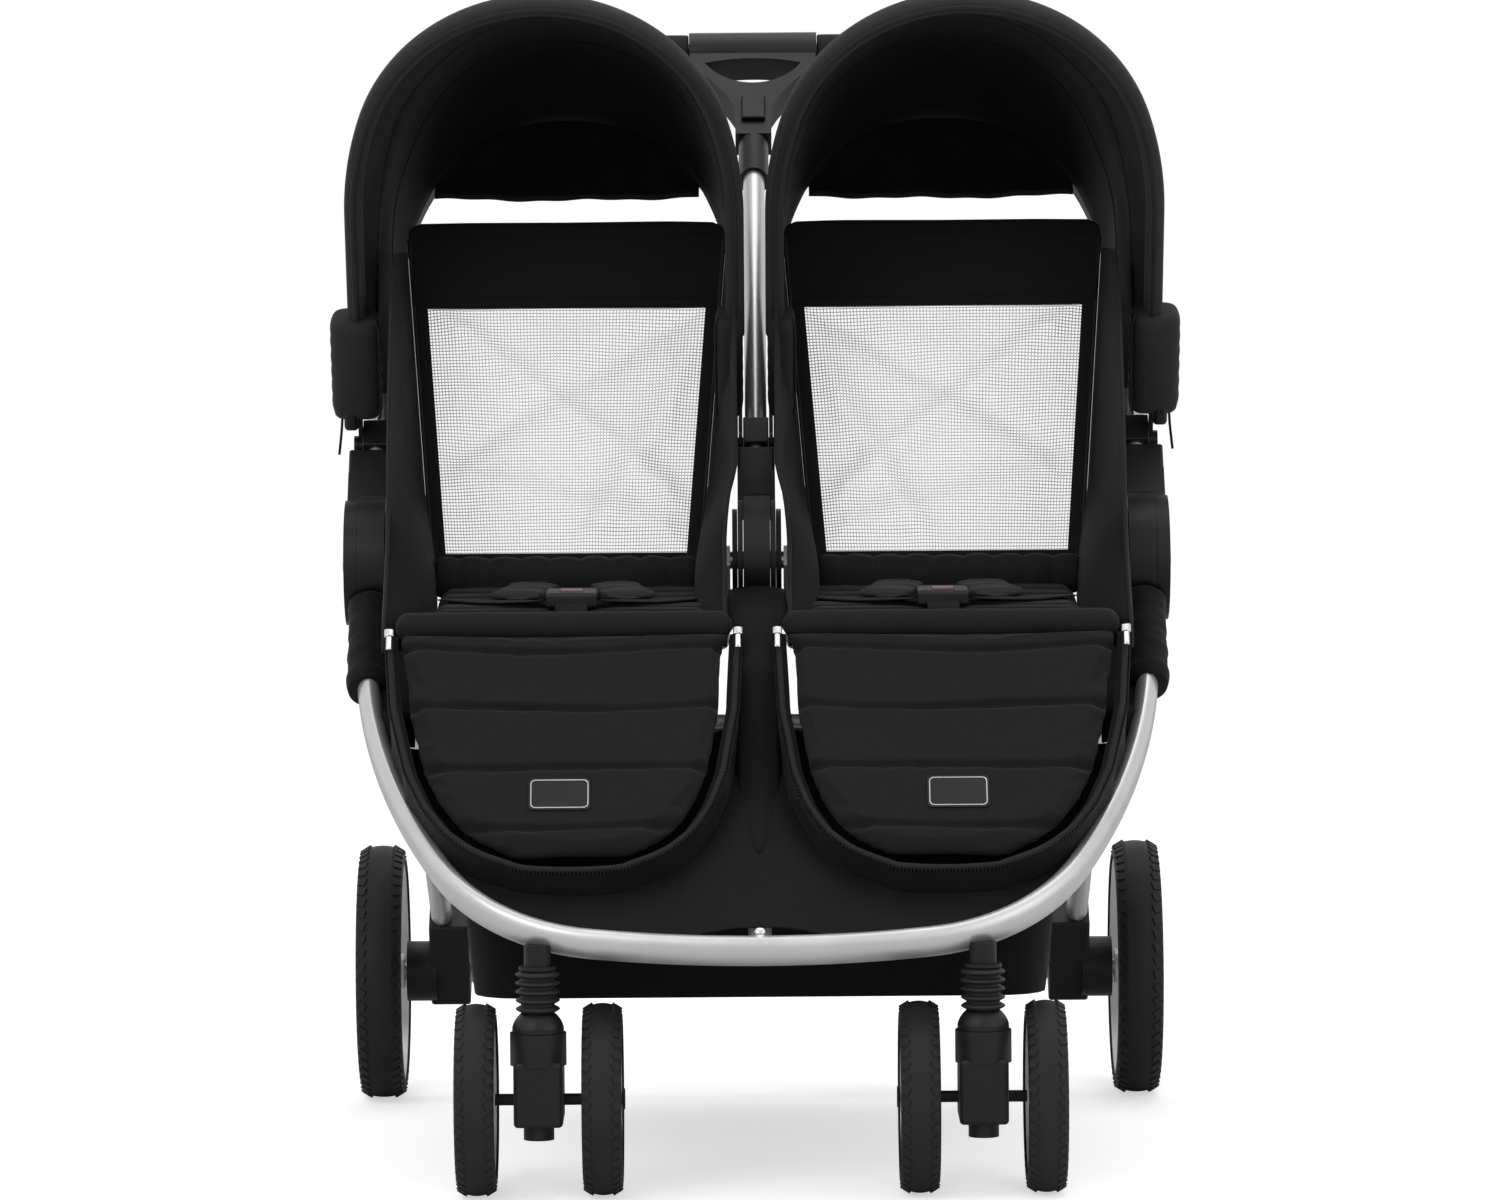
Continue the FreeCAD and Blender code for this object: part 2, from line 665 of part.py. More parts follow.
def turning_path(start, heading, steps):
    """Tangent straight runs and arcs in a plane: a step is a length, or a radius and a turn in degrees."""
    edges = []
    point = start
    angle = heading
    for step in steps:
        if len(step) == 1:
            run = FreeCAD.Vector(math.cos(angle), math.sin(angle), 0) * step[0]
            edges.append(Part.LineSegment(point, point + run).toShape())
            point = point + run
            continue
        radius, turn = step[0], math.radians(step[1])
        side = math.copysign(1, turn)
        centre = point + FreeCAD.Vector(-math.sin(angle), math.cos(angle), 0) * (radius * side)

        def on_arc(part):
            swing = angle + turn * part - side * math.pi / 2
            return centre + FreeCAD.Vector(math.cos(swing), math.sin(swing), 0) * radius

        edges.append(Part.Arc(point, on_arc(0.5), on_arc(1)).toShape())
        point = on_arc(1)
        angle += turn
    return edges, point


def hoop_edges():
    """The front hoop's centre line in its own plane, X across and Y out along the ray."""
    side_radius = number("sizes.hoop_side_radius")
    side_turn = number("sizes.hoop_side_turn")
    corner_radius = number("sizes.hoop_corner_radius")
    corner_turn = number("sizes.hoop_corner_turn")
    half_width = number("sizes.frame_half_width")
    first = math.radians(side_turn)
    second = math.radians(side_turn + corner_turn)
    inwards = side_radius * (1 - math.cos(first)) + corner_radius * (math.cos(first) - math.cos(second))
    outwards = side_radius * math.sin(first) + corner_radius * (math.sin(second) - math.sin(first))
    base_radius = (half_width - inwards) / math.cos(second)
    outwards += base_radius * (1 - math.sin(second))
    straight = number("sizes.front_reach") - outwards - number("sizes.tube_insert")
    start = FreeCAD.Vector(half_width, number("sizes.tube_insert"), 0)
    turns = [(straight,), (side_radius, side_turn), (corner_radius, corner_turn),
             (base_radius, 2 * (90 - side_turn - corner_turn)),
             (corner_radius, corner_turn), (side_radius, side_turn), (straight,)]
    return turning_path(start, math.pi / 2, turns)[0]


def flat_to_front():
    """The placement that lays the plane of the hoop's drawing along the front ray."""
    return FreeCAD.Placement(HUB, FreeCAD.Rotation(FreeCAD.Vector(1, 0, 0), FRONT_ANGLE))


def hoop_skin(wall=0.0):
    """The solid that fills the hoop's tube, less a wall all round, in its place on the frame."""
    start = FreeCAD.Vector(number("sizes.frame_half_width"), number("sizes.tube_insert"), 0)
    section = oval_wire(number("sizes.tube_depth") - 2 * wall, number("sizes.tube_width") - 2 * wall, start,
                        FreeCAD.Vector(0, 1, 0), FreeCAD.Vector(1, 0, 0))
    skin = swept(Part.Wire(hoop_edges()), section)
    skin.Placement = flat_to_front()
    return skin


def front_hoop():
    """The hollow silver hoop from hub to hub that carries the casters."""
    shaped("front_hoop", hoop_skin().cut(hoop_skin(number("sizes.tube_wall"))))


def front_crossbars():
    """The centre tube of the front frame, and the bar under the seats' front edges."""
    hoop = add("Part::Feature", "hoop_cope")
    hoop.Shape = hoop_skin()
    skin = oval_bar("centre_skin", "sizes.tube_depth", "sizes.tube_width", "sizes.front_reach - sizes.tube_insert", "0", "sizes.tube_insert")
    saddle = cylinder_x("centre_saddle", "sizes.crossbar_radius", "2 * sizes.tube_width", "-sizes.tube_width", "0", "sizes.crossbar_reach")
    tube = cut("centre_tube_saddled", skin, saddle)
    tube.Placement = ray(FRONT_ANGLE)
    keep(cut("centre_tube", tube, hoop), "front_centre_tube")
    bar = cylinder_x("seat_bar_full", "sizes.crossbar_radius", "2 * sizes.frame_half_width", "-sizes.frame_half_width",
                     "-sizes.crossbar_reach * cos(sizes.front_slope)", "sizes.hub_height - sizes.crossbar_reach * sin(sizes.front_slope)")
    document.recompute()
    span = [solid for solid in bar.Shape.cut(hoop.Shape).Solids if abs(solid.CenterOfMass.x) < number("sizes.tube_width")]
    shaped("seat_bar", span[0])


def hoop_bend_start():
    """How far out along the ray the hoop's side begins to bend in."""
    side_radius = number("sizes.hoop_side_radius")
    first = math.radians(number("sizes.hoop_side_turn"))
    second = math.radians(number("sizes.hoop_side_turn") + number("sizes.hoop_corner_turn"))
    corner_radius = number("sizes.hoop_corner_radius")
    inwards = side_radius * (1 - math.cos(first)) + corner_radius * (math.cos(first) - math.cos(second))
    outwards = side_radius * math.sin(first) + corner_radius * (math.sin(second) - math.sin(first))
    base_radius = (number("sizes.frame_half_width") - inwards) / math.cos(second)
    return number("sizes.front_reach") - outwards - base_radius * (1 - math.sin(second))


def tyre_and_rim(side, label, radius, width, rim, shoulder, bore, place, spokes):
    """A rubber tyre on a spoked rim, turned about the wheel's own axle."""
    half = "(%s) / 2" % width
    body = add("PartDesign::Body", label + "_tyre_" + side)
    spun(body, label + "_tyre_ring_" + side, [
        ("-" + half, rim), ("-" + half, "%s - %s" % (radius, shoulder)),
        ("-%s + %s" % (half, shoulder), radius + " - 1"), ("%s - %s" % (half, shoulder), radius + " - 1"),
        (half, "%s - %s" % (radius, shoulder)), (half, rim)],
        {1: shoulder + " * 1.02", 2: "(pow(%s - %s; 2) + 1) / 2" % (half, shoulder), 3: shoulder + " * 1.02"})
    keep(body, "%s_tyre_%s" % (label, side), place)
    wheel = add("PartDesign::Body", label + "_rim_" + side)
    inset = "(%s - 2)" % half
    spun(wheel, label + "_rim_ring_" + side, [
        ("-" + inset, rim), (inset, rim), (inset, rim + " - 5"), ("4", rim + " - 10"), ("-4", rim + " - 10"), ("-" + inset, rim + " - 5")])
    hub = spun(wheel, label + "_rim_hub_" + side, [
        ("-%s + 1" % half, bore), ("-%s + 1" % half, bore + " + 8"), ("-6", bore + " + 11"), ("6", bore + " + 11"),
        (half + " - 1", bore + " + 8"), (half + " - 1", bore)])
    spoke = plate(wheel, label + "_spoke_" + side, "YZ_Plane", [
        ("-4", rim + " - 7"), ("4", rim + " - 7"), ("7", bore + " + 5"), ("-7", bore + " + 5")], "7")
    pattern = wheel.newObject("PartDesign::PolarPattern", label + "_spokes_" + side)
    pattern.Originals = [spoke]
    pattern.Axis = (origin_axis(wheel, "X_Axis"), [""])
    pattern.Angle = 360
    pattern.Occurrences = spokes
    wheel.Tip = pattern
    keep(wheel, "%s_rim_%s" % (label, side), place)


def origin_axis(body, role):
    return [feature for feature in body.Origin.OriginFeatures if feature.Role == role][0]


def rear_wheels():
    for side, sign in (("right", 1), ("left", -1)):
        place = along_x(sign * number("sizes.rear_wheel_centre"), AXLE.y, AXLE.z)
        tyre_and_rim(side, "rear", "sizes.rear_wheel_radius", "sizes.rear_wheel_width", "sizes.rear_rim_radius",
                     "sizes.rear_shoulder", "(sizes.axle_pin_radius + sizes.running_gap)", place, 6)


def front_wheels():
    for caster, direction in (("right", 1), ("left", -1)):
        for name, offset in (("outer", direction), ("inner", -direction)):
            x = direction * number("sizes.caster_spacing") + offset * number("sizes.front_wheel_offset")
            y = number("sizes.caster_trail") - number("sizes.caster_setback")
            place = along_x(x, y, number("sizes.front_wheel_radius"))
            tyre_and_rim(caster + "_" + name, "front", "sizes.front_wheel_radius", "sizes.front_wheel_width",
                         "sizes.front_rim_radius", "sizes.front_shoulder",
                         "(sizes.front_axle_radius + sizes.running_gap)", place, 5)


def rear_legs():
    """The oval outer legs and the round centre leg down to the rear axle."""
    leg_x = "(sizes.frame_half_width - sizes.leg_top_inset)"
    lean = "atan2(sizes.leg_foot_inset - sizes.leg_top_inset; sizes.leg_foot_reach - sizes.tube_insert)"
    length = "(sizes.leg_foot_reach - sizes.tube_insert) / cos(%s)" % lean
    skin = oval_bar("leg_skin", "sizes.tube_depth", "sizes.tube_width", length, leg_x, "sizes.tube_insert", lean)
    core = oval_bar("leg_core", "sizes.tube_depth - 2 * sizes.tube_wall", "sizes.tube_width - 2 * sizes.tube_wall",
                    length, leg_x, "sizes.tube_insert", lean)
    right = cut("leg_right", skin, core)
    centre_length = "sizes.axle_reach - sizes.axle_tube_radius - 92"
    centre_skin = cylinder_z("centre_leg_skin", "sizes.centre_leg_radius", centre_length, "0", "0", "92")
    centre_core = cylinder_z("centre_leg_core", "sizes.centre_leg_radius - sizes.tube_wall", centre_length, "0", "0", "92")
    centre = cut("leg_centre", centre_skin, centre_core)
    keep(group("rear_legs", [right, mirrored("leg_left", right), centre]), "rear_legs", ray(REAR_ANGLE))


def rear_axle():
    """The axle tube, the wheel housings with their leg brackets, and the pins the wheels turn on."""
    half = "sizes.bracket_inner_face"
    skin = cylinder_x("axle_skin", "sizes.axle_tube_radius", "2 * " + half, "-" + half)
    core = cylinder_x("axle_core", "sizes.axle_tube_radius - sizes.axle_tube_wall", "2 * " + half, "-" + half)
    keep(cut("axle_tube", skin, core), "axle_tube", along_x(0, AXLE.y, AXLE.z))
    drum = cylinder_x("housing_drum", "sizes.housing_radius", "sizes.housing_outer_face - sizes.housing_inner_face",
                      "sizes.housing_inner_face", "0", "sizes.axle_reach")
    bracket = rounded(box("housing_bracket", "sizes.housing_inner_face + 6 - sizes.bracket_inner_face", SOCKET_DEPTH + " + 4",
                          "92", "sizes.bracket_inner_face", "-(%s + 4) / 2" % SOCKET_DEPTH, "sizes.axle_reach - 66"), "3")
    leg_x = "(sizes.frame_half_width - sizes.leg_top_inset)"
    lean = "atan2(sizes.leg_foot_inset - sizes.leg_top_inset; sizes.leg_foot_reach - sizes.tube_insert)"
    length = "(sizes.leg_foot_reach - sizes.tube_insert) / cos(%s)" % lean
    hole = oval_bar("housing_leg_hole", "sizes.tube_depth", "sizes.tube_width", length, leg_x, "sizes.tube_insert", lean)
    bore = cylinder_x("housing_pin_bore", "sizes.axle_pin_radius", "sizes.housing_outer_face", "sizes.housing_inner_face - 12", "0", "sizes.axle_reach")
    right = cut("housing_right_rear", fuse("housing_rear_body", [drum, bracket]), fuse("housing_rear_holes", [hole, bore]))
    keep(group("wheel_housings", [right, mirrored("housing_left_rear", right)]), "wheel_housings", ray(REAR_ANGLE))
    outer = "(sizes.rear_wheel_centre + sizes.rear_wheel_width / 2)"
    pin = cylinder_x("axle_pin", "sizes.axle_pin_radius", "%s + 0.4 - sizes.housing_inner_face + 12" % outer, "sizes.housing_inner_face - 12", "0", "sizes.axle_reach")
    head = cylinder_x("axle_head", "sizes.axle_pin_radius + 6", "2", outer + " + 0.4", "0", "sizes.axle_reach")
    pin_right = fuse("axle_pin_right", [pin, head])
    keep(group("rear_axle_pins", [pin_right, mirrored("axle_pin_left", pin_right)]), "rear_axle_pins", ray(REAR_ANGLE))


def brake_pedal():
    """The foot pedal that turns on the axle tube."""
    body = add("PartDesign::Body", "brake_pedal")
    reach = "sizes.pedal_hub_radius"
    plate(body, "pedal_hub", "YZ_Plane", [
        ("-%s" % reach, "0"), ("0", reach), (reach, "0"), ("0", "-%s" % reach)], "sizes.pedal_width / 2",
        {0: reach + " * 1.001", 1: reach + " * 1.001", 2: reach + " * 1.001", 3: reach + " * 1.001"})
    plate(body, "pedal_tread", "YZ_Plane", [
        ("0", "2"), ("0", "2 + sizes.pedal_thickness"), ("sizes.pedal_length", "6 + sizes.pedal_thickness / 2"),
        ("sizes.pedal_length", "6")], "sizes.pedal_width")
    bore = "sizes.axle_tube_radius + sizes.running_gap"
    through(body, "pedal_bore", "YZ_Plane", [
        ("-(%s)" % bore, "0"), ("0", bore), (bore, "0"), ("0", "-(%s)" % bore)],
        {0: "(%s) * 1.00001" % bore, 1: "(%s) * 1.00001" % bore, 2: "(%s) * 1.00001" % bore, 3: "(%s) * 1.00001" % bore})
    keep(body, "brake_pedal", along_x(number("sizes.pedal_offset"), AXLE.y, AXLE.z))


def handle():
    """The sliding handle: its bent tube and centre post, grips, cover and forked bracket."""
    reach = number("sizes.grip_reach")
    corner = number("sizes.handle_corner_radius")
    half = number("sizes.frame_half_width")
    begin = number("sizes.inner_tube_start")
    depth = number("sizes.inner_tube_depth")
    width = number("sizes.inner_tube_width")
    wall = 2 * number("sizes.inner_tube_wall")
    start = FreeCAD.Vector(half, begin, 0)
    edges = turning_path(start, math.pi / 2, [
        (reach - corner - begin,), (corner, 90), (2 * (half - corner),), (corner, 90), (reach - corner - begin,)])[0]
    path = Part.Wire(edges)
    up = FreeCAD.Vector(0, 1, 0)
    across = FreeCAD.Vector(1, 0, 0)
    skin = swept(path, oval_wire(depth, width, start, up, across))
    core = swept(path, oval_wire(depth - wall, width - wall, start, up, across))
    lay = FreeCAD.Placement(HUB, FreeCAD.Rotation(FreeCAD.Vector(1, 0, 0), PUSH_ANGLE))
    skin.Placement = FreeCAD.Placement(FreeCAD.Vector(), FreeCAD.Rotation(FreeCAD.Vector(1, 0, 0), 90))
    core.Placement = skin.Placement
    post_length = number("sizes.grip_reach - sizes.bracket_drop + sizes.bracket_post_depth - sizes.inner_tube_start")
    post_start = FreeCAD.Vector(0, 0, begin)
    post_end = FreeCAD.Vector(0, 0, post_length)
    straight = Part.Wire([Part.LineSegment(post_start, post_start + post_end).toShape()])
    post = swept(straight, oval_wire(depth, width, post_start, post_end, across))
    post_core = swept(straight, oval_wire(depth - wall, width - wall, post_start, post_end, across))
    place = ray(PUSH_ANGLE)
    shaped("handle_tubes", Part.makeCompound([skin.cut(core), post.cut(post_core)]), place)
    bar = add("Part::Feature", "handle_bar_skin")
    bar.Shape = skin
    grip_end = "(sizes.frame_half_width - sizes.handle_corner_radius - sizes.grip_corner_gap)"
    grip_start = "(sizes.grip_cover_width / 2 + 0.5)"
    sleeve = cylinder_x("grip_sleeve", "sizes.grip_radius", "%s - %s" % (grip_end, grip_start), grip_start, "0", "sizes.grip_reach")
    right = cut("grip_right", sleeve, bar)
    keep(group("handle_grips", [right, mirrored("grip_left", right)]), "handle_grips", place)
    cover = cylinder_x("cover_shell", "sizes.grip_cover_radius", "sizes.grip_cover_width", "-sizes.grip_cover_width / 2", "0", "sizes.grip_reach")
    keep(cut("grip_cover", cover, bar), "grip_cover", place)
    body = add("PartDesign::Body", "bracket_body")
    top = "sizes.grip_reach"
    foot = "(sizes.grip_reach - sizes.bracket_drop)"
    shoulder = "(%s + sizes.bracket_neck)" % foot
    wide = "(sizes.grip_cover_width / 2 - 1)"
    arm_low = "(sizes.grip_reach - sizes.bracket_arm_drop)"
    plate(body, "bracket_plate", "XZ_Plane", [
        ("-" + wide, top), ("-" + wide, arm_low), ("-sizes.bracket_neck / 2", shoulder), ("-sizes.bracket_neck / 2", foot),
        ("sizes.bracket_neck / 2", foot), ("sizes.bracket_neck / 2", shoulder), (wide, arm_low), (wide, top)],
        "sizes.bracket_thickness", {1: "sizes.bracket_side_radius", 5: "sizes.bracket_side_radius"})
    window_half = "(sizes.grip_cover_width / 2 - sizes.bracket_wall)"
    window_top = "(sizes.grip_reach - sizes.grip_cover_radius - 6)"
    sag = "sizes.bracket_window_depth"
    through(body, "bracket_window", "XZ_Plane", [("-" + window_half, window_top), (window_half, window_top)],
            {0: "4 * " + window_half, 1: "(pow(%s; 2) + pow(%s; 2)) / (2 * %s)" % (window_half, sag, sag)})
    post_hole = oval_bar("bracket_post_hole", "sizes.inner_tube_depth", "sizes.inner_tube_width",
                         "sizes.bracket_post_depth + 1", "0", foot + " - 1")
    cover_hole = cylinder_x("bracket_cover_hole", "sizes.grip_cover_radius", "sizes.grip_cover_width", "-sizes.grip_cover_width / 2", "0", "sizes.grip_reach")
    top_trim = box("bracket_top_trim", "sizes.grip_cover_width", "sizes.bracket_thickness + 2", "sizes.grip_cover_radius",
                   "-sizes.grip_cover_width / 2", "-sizes.bracket_thickness / 2 - 1", "sizes.grip_reach")
    pocket_width = "(sizes.button_width + 2 * sizes.button_gap)"
    pocket_length = "(sizes.button_length + 2 * sizes.button_gap)"
    button_low = "(%s + sizes.bracket_post_depth + 3)" % foot
    pocket = box("button_pocket", pocket_width, "sizes.button_depth + sizes.button_travel + 1", pocket_length,
                 "-%s / 2" % pocket_width, "-sizes.bracket_thickness / 2 - 1", button_low + " - sizes.button_gap")
    keep(cut("handle_bracket", body, fuse("bracket_holes", [post_hole, cover_hole, top_trim, pocket])), "handle_bracket", place)
    button = rounded(box("button_block", "sizes.button_width", "sizes.button_depth + sizes.button_proud", "sizes.button_length",
                         "-sizes.button_width / 2", "-sizes.bracket_thickness / 2 - sizes.button_proud", button_low), "2")
    keep(button, "height_button", place)


def caster_place(sign):
    return FreeCAD.Vector(sign * number("sizes.caster_spacing"), -number("sizes.caster_setback"), 0)


def caster_brackets():
    """The saddles under the hoop with the guide rods that the sprung stems slide on."""
    hoop = add("Part::Feature", "hoop_saddle")
    hoop.Shape = hoop_skin()
    flange_low = "(sizes.bellows_top + 0.3)"
    neck = cylinder_z("saddle_neck", "sizes.saddle_radius", "sizes.saddle_top - sizes.bellows_top", "sizes.caster_spacing", "-sizes.caster_setback", flange_low)
    flange = cylinder_z("saddle_flange", "sizes.bellows_radius - 3", "3", "sizes.caster_spacing", "-sizes.caster_setback", flange_low)
    rod = cylinder_z("guide_rod", "sizes.guide_radius", "%s - sizes.guide_bottom" % flange_low, "sizes.caster_spacing", "-sizes.caster_setback", "sizes.guide_bottom")
    right = cut("caster_bracket_right", fuse("saddle_body", [neck, flange, rod]), hoop)
    keep(group("caster_brackets", [right, mirrored("caster_bracket_left", right)]), "caster_brackets")


def bellows():
    """The ribbed rubber bellows over the casters' springs."""
    folds = []
    count = int(round(number("sizes.bellows_ribs")))
    for sign in (1, -1):
        body = add("PartDesign::Body", "bellows_" + ("right" if sign > 0 else "left"))
        corners = [("sizes.bellows_bore", "sizes.bellows_bottom"), ("sizes.bellows_bore", "sizes.bellows_top")]
        arcs = {}
        for fold in range(count):
            share = "(sizes.bellows_top - sizes.bellows_bottom) / %d" % count
            high = "sizes.bellows_top - %s * %d" % (share, fold)
            corners.append(("sizes.bellows_bore + 2.5", high))
            corners.append(("sizes.bellows_radius", "%s - %s * 0.3" % (high, share)))
            corners.append(("sizes.bellows_radius", "%s - %s * 0.6" % (high, share)))
            arcs[len(corners) - 2] = "%s * 0.17" % share
        corners.append(("sizes.bellows_bore + 2.5", "sizes.bellows_bottom"))
        turned(body, body.Name + "_ribs", corners, arcs)
        body.Placement = FreeCAD.Placement(caster_place(sign), FreeCAD.Rotation())
        folds.append(body)
    keep(group("bellows", folds), "bellows")


def casters():
    """The sprung stems and the forks that swivel under them."""
    for side, sign in (("right", 1), ("left", -1)):
        stem = add("PartDesign::Body", "stem_body_" + side)
        turned(stem, "stem_profile_" + side, [
            ("sizes.guide_radius + sizes.running_gap", "sizes.stem_bore_bottom"),
            ("sizes.guide_radius + sizes.running_gap", "sizes.stem_top"), ("sizes.bellows_bore - 0.6", "sizes.stem_top"),
            ("sizes.bellows_bore - 0.6", "sizes.bellows_bottom - 0.4"), ("sizes.bellows_bore + 3", "sizes.bellows_bottom - 0.4"),
            ("sizes.dome_radius", "sizes.dome_bottom + 4"), ("sizes.dome_radius", "sizes.dome_bottom"),
            ("sizes.swivel_pin_radius", "sizes.dome_bottom"), ("sizes.swivel_pin_radius", "sizes.swivel_pin_bottom"),
            ("0", "sizes.swivel_pin_bottom"), ("0", "sizes.stem_bore_bottom")], {4: "sizes.dome_radius"})
        keep(stem, "caster_stem_" + side, FreeCAD.Placement(caster_place(sign), FreeCAD.Rotation()))
        axle_height = "sizes.front_wheel_radius"
        collar = cylinder_z("fork_collar_" + side, "sizes.collar_radius", "sizes.dome_bottom - sizes.swivel_gap - sizes.collar_bottom", "0", "0", "sizes.collar_bottom")
        head = rounded(box("fork_head_" + side, "sizes.fork_width", "sizes.caster_trail + sizes.fork_width", "sizes.collar_bottom + 4 - sizes.fork_shoulder",
                           "-sizes.fork_width / 2", "-sizes.fork_width / 2", "sizes.fork_shoulder"), "4")
        stub = cylinder_z("fork_stub_" + side, "sizes.stub_radius", "sizes.fork_shoulder + 2 - sizes.fork_bottom", "0", "0", "sizes.fork_bottom")
        bore = cylinder_z("fork_bore_" + side, "sizes.swivel_pin_radius + sizes.running_gap",
                          "sizes.dome_bottom - sizes.swivel_pin_bottom + 1", "0", "0", "sizes.swivel_pin_bottom - 0.5")
        half_axle = "(sizes.front_wheel_offset + sizes.front_wheel_width / 2 + 0.4)"
        axle = cylinder_x("fork_axle_" + side, "sizes.front_axle_radius", "2 * " + half_axle, "-" + half_axle, "sizes.caster_trail", axle_height)
        caps = []
        for end, x in (("a", half_axle), ("b", "-%s - 1.6" % half_axle)):
            caps.append(cylinder_x("fork_cap_%s_%s" % (end, side), "sizes.front_axle_radius + 4", "1.6", x, "sizes.caster_trail", axle_height))
        fork = cut("fork_" + side, fuse("fork_body_" + side, [collar, head, stub, axle] + caps), bore)
        keep(fork, "caster_fork_" + side, FreeCAD.Placement(caster_place(sign), FreeCAD.Rotation()))


def bow_edges(reach, half, start):
    """A bow's centre line across X and up Y: straight arms and an arch of three arcs."""
    height = number("sizes.bow_arch_height")
    side_radius = number("sizes.bow_side_radius")
    inset = half - side_radius
    crown = (inset ** 2 + height ** 2 - side_radius ** 2) / (2 * (height - side_radius))
    shoulder = reach - height
    centre = FreeCAD.Vector(0, reach - crown, 0)
    side_centre = FreeCAD.Vector(inset, shoulder, 0)
    towards = (centre - side_centre).normalize()
    join = side_centre + towards * side_radius
    half_turn = math.atan2(towards.y, towards.x) / 2
    middle = side_centre + FreeCAD.Vector(math.cos(half_turn), math.sin(half_turn), 0) * side_radius
    corners = [FreeCAD.Vector(half, start, 0), FreeCAD.Vector(half, shoulder, 0), middle, join, FreeCAD.Vector(0, reach, 0)]
    foot, arm, bend, joint, top = corners
    far_foot, far_arm, far_bend, far_joint = [FreeCAD.Vector(-point.x, point.y, 0) for point in corners[:4]]
    return [Part.LineSegment(foot, arm).toShape(), Part.Arc(arm, bend, joint).toShape(),
            Part.Arc(joint, top, far_joint).toShape(), Part.Arc(far_joint, far_bend, far_arm).toShape(),
            Part.LineSegment(far_arm, far_foot).toShape()]


def bow_strip(reach, half, wall, start):
    """The outline of a strip of even wall inside a bow."""
    outer = bow_edges(reach, half, start)
    inner = bow_edges(reach - wall, half - wall, start)
    closing = [Part.LineSegment(outer[end].Vertexes[end].Point, inner[end].Vertexes[end].Point).toShape() for end in (0, -1)]
    return Part.Wire(Part.__sortEdges__(outer + inner + closing))


def both_sides(label, shape):
    """The same canopy piece on the right and on the left."""
    shaped(label + "_right", shape)
    shaped(label + "_left", shape.mirror(FreeCAD.Vector(), FreeCAD.Vector(1, 0, 0)))


def canopies():
    """The bows that turn on the clamps' pins, and the hood fabric stretched between them."""
    thickness = number("sizes.bow_band_thickness")
    gap = number("sizes.bow_gap")
    width = number("sizes.bow_band_width")
    clamp_low = number("sizes.frame_half_width - sizes.tube_width / 2 - sizes.clamp_wall")
    clamp_high = number("sizes.frame_half_width + sizes.tube_width / 2 + sizes.clamp_outer_wall")
    centre_high = number("sizes.tube_width / 2 + sizes.clamp_centre_wall")
    arms = {"rear": (clamp_low - gap - thickness / 2, centre_high + gap + thickness / 2),
            "front": (clamp_high + gap + thickness / 2, centre_high + 2 * gap + thickness * 1.5)}
    across = FreeCAD.Vector(1, 0, 0)
    upright = FreeCAD.Placement(FreeCAD.Vector(), FreeCAD.Rotation(across, 90))
    for name, (outer_x, inner_x) in arms.items():
        reach = number("sizes.%s_bow_reach" % name)
        angle = PUSH_ANGLE + number("sizes.%s_bow_angle" % name)
        half = (outer_x - inner_x) / 2
        band = Part.Face(bow_strip(reach + thickness / 2, half + thickness / 2, thickness, 0)).extrude(FreeCAD.Vector(0, 0, width))
        band.translate(FreeCAD.Vector(0, 0, -width / 2))
        band.Placement = upright.multiply(band.Placement)
        added = []
        bores = []
        for end in (half, -half):
            low = end - thickness / 2
            added.append(Part.makeCylinder(number("sizes.bow_boss_radius"), thickness, FreeCAD.Vector(low, 0, 0), across))
            bores.append(Part.makeCylinder(number("sizes.canopy_pin_radius + sizes.running_gap"), thickness + 2,
                                           FreeCAD.Vector(low - 1, 0, 0), across))
            if name == "front":
                lap = number("sizes.bow_pad_lap")
                thick = lap + number("sizes.bow_pad_thickness" if end > 0 else "sizes.bow_inner_pad_thickness")
                depth = number("sizes.bow_pad_depth")
                pad = Part.makeBox(thick, depth, number("sizes.bow_pad_length"),
                                   FreeCAD.Vector(low + thickness - lap, -depth / 2, number("sizes.bow_pad_start")))
                added.append(pad.makeFillet(thick * 0.3, pad.Edges))
        bow = band.fuse(added).cut(bores)
        bow.Placement = ray(angle, PIVOT + FreeCAD.Vector((outer_x + inner_x) / 2, 0, 0))
        both_sides("canopy_%s_bow" % name, bow)
    canopy_fabric(clamp_high, clamp_low - gap - thickness, centre_high + 2 * (gap + thickness))


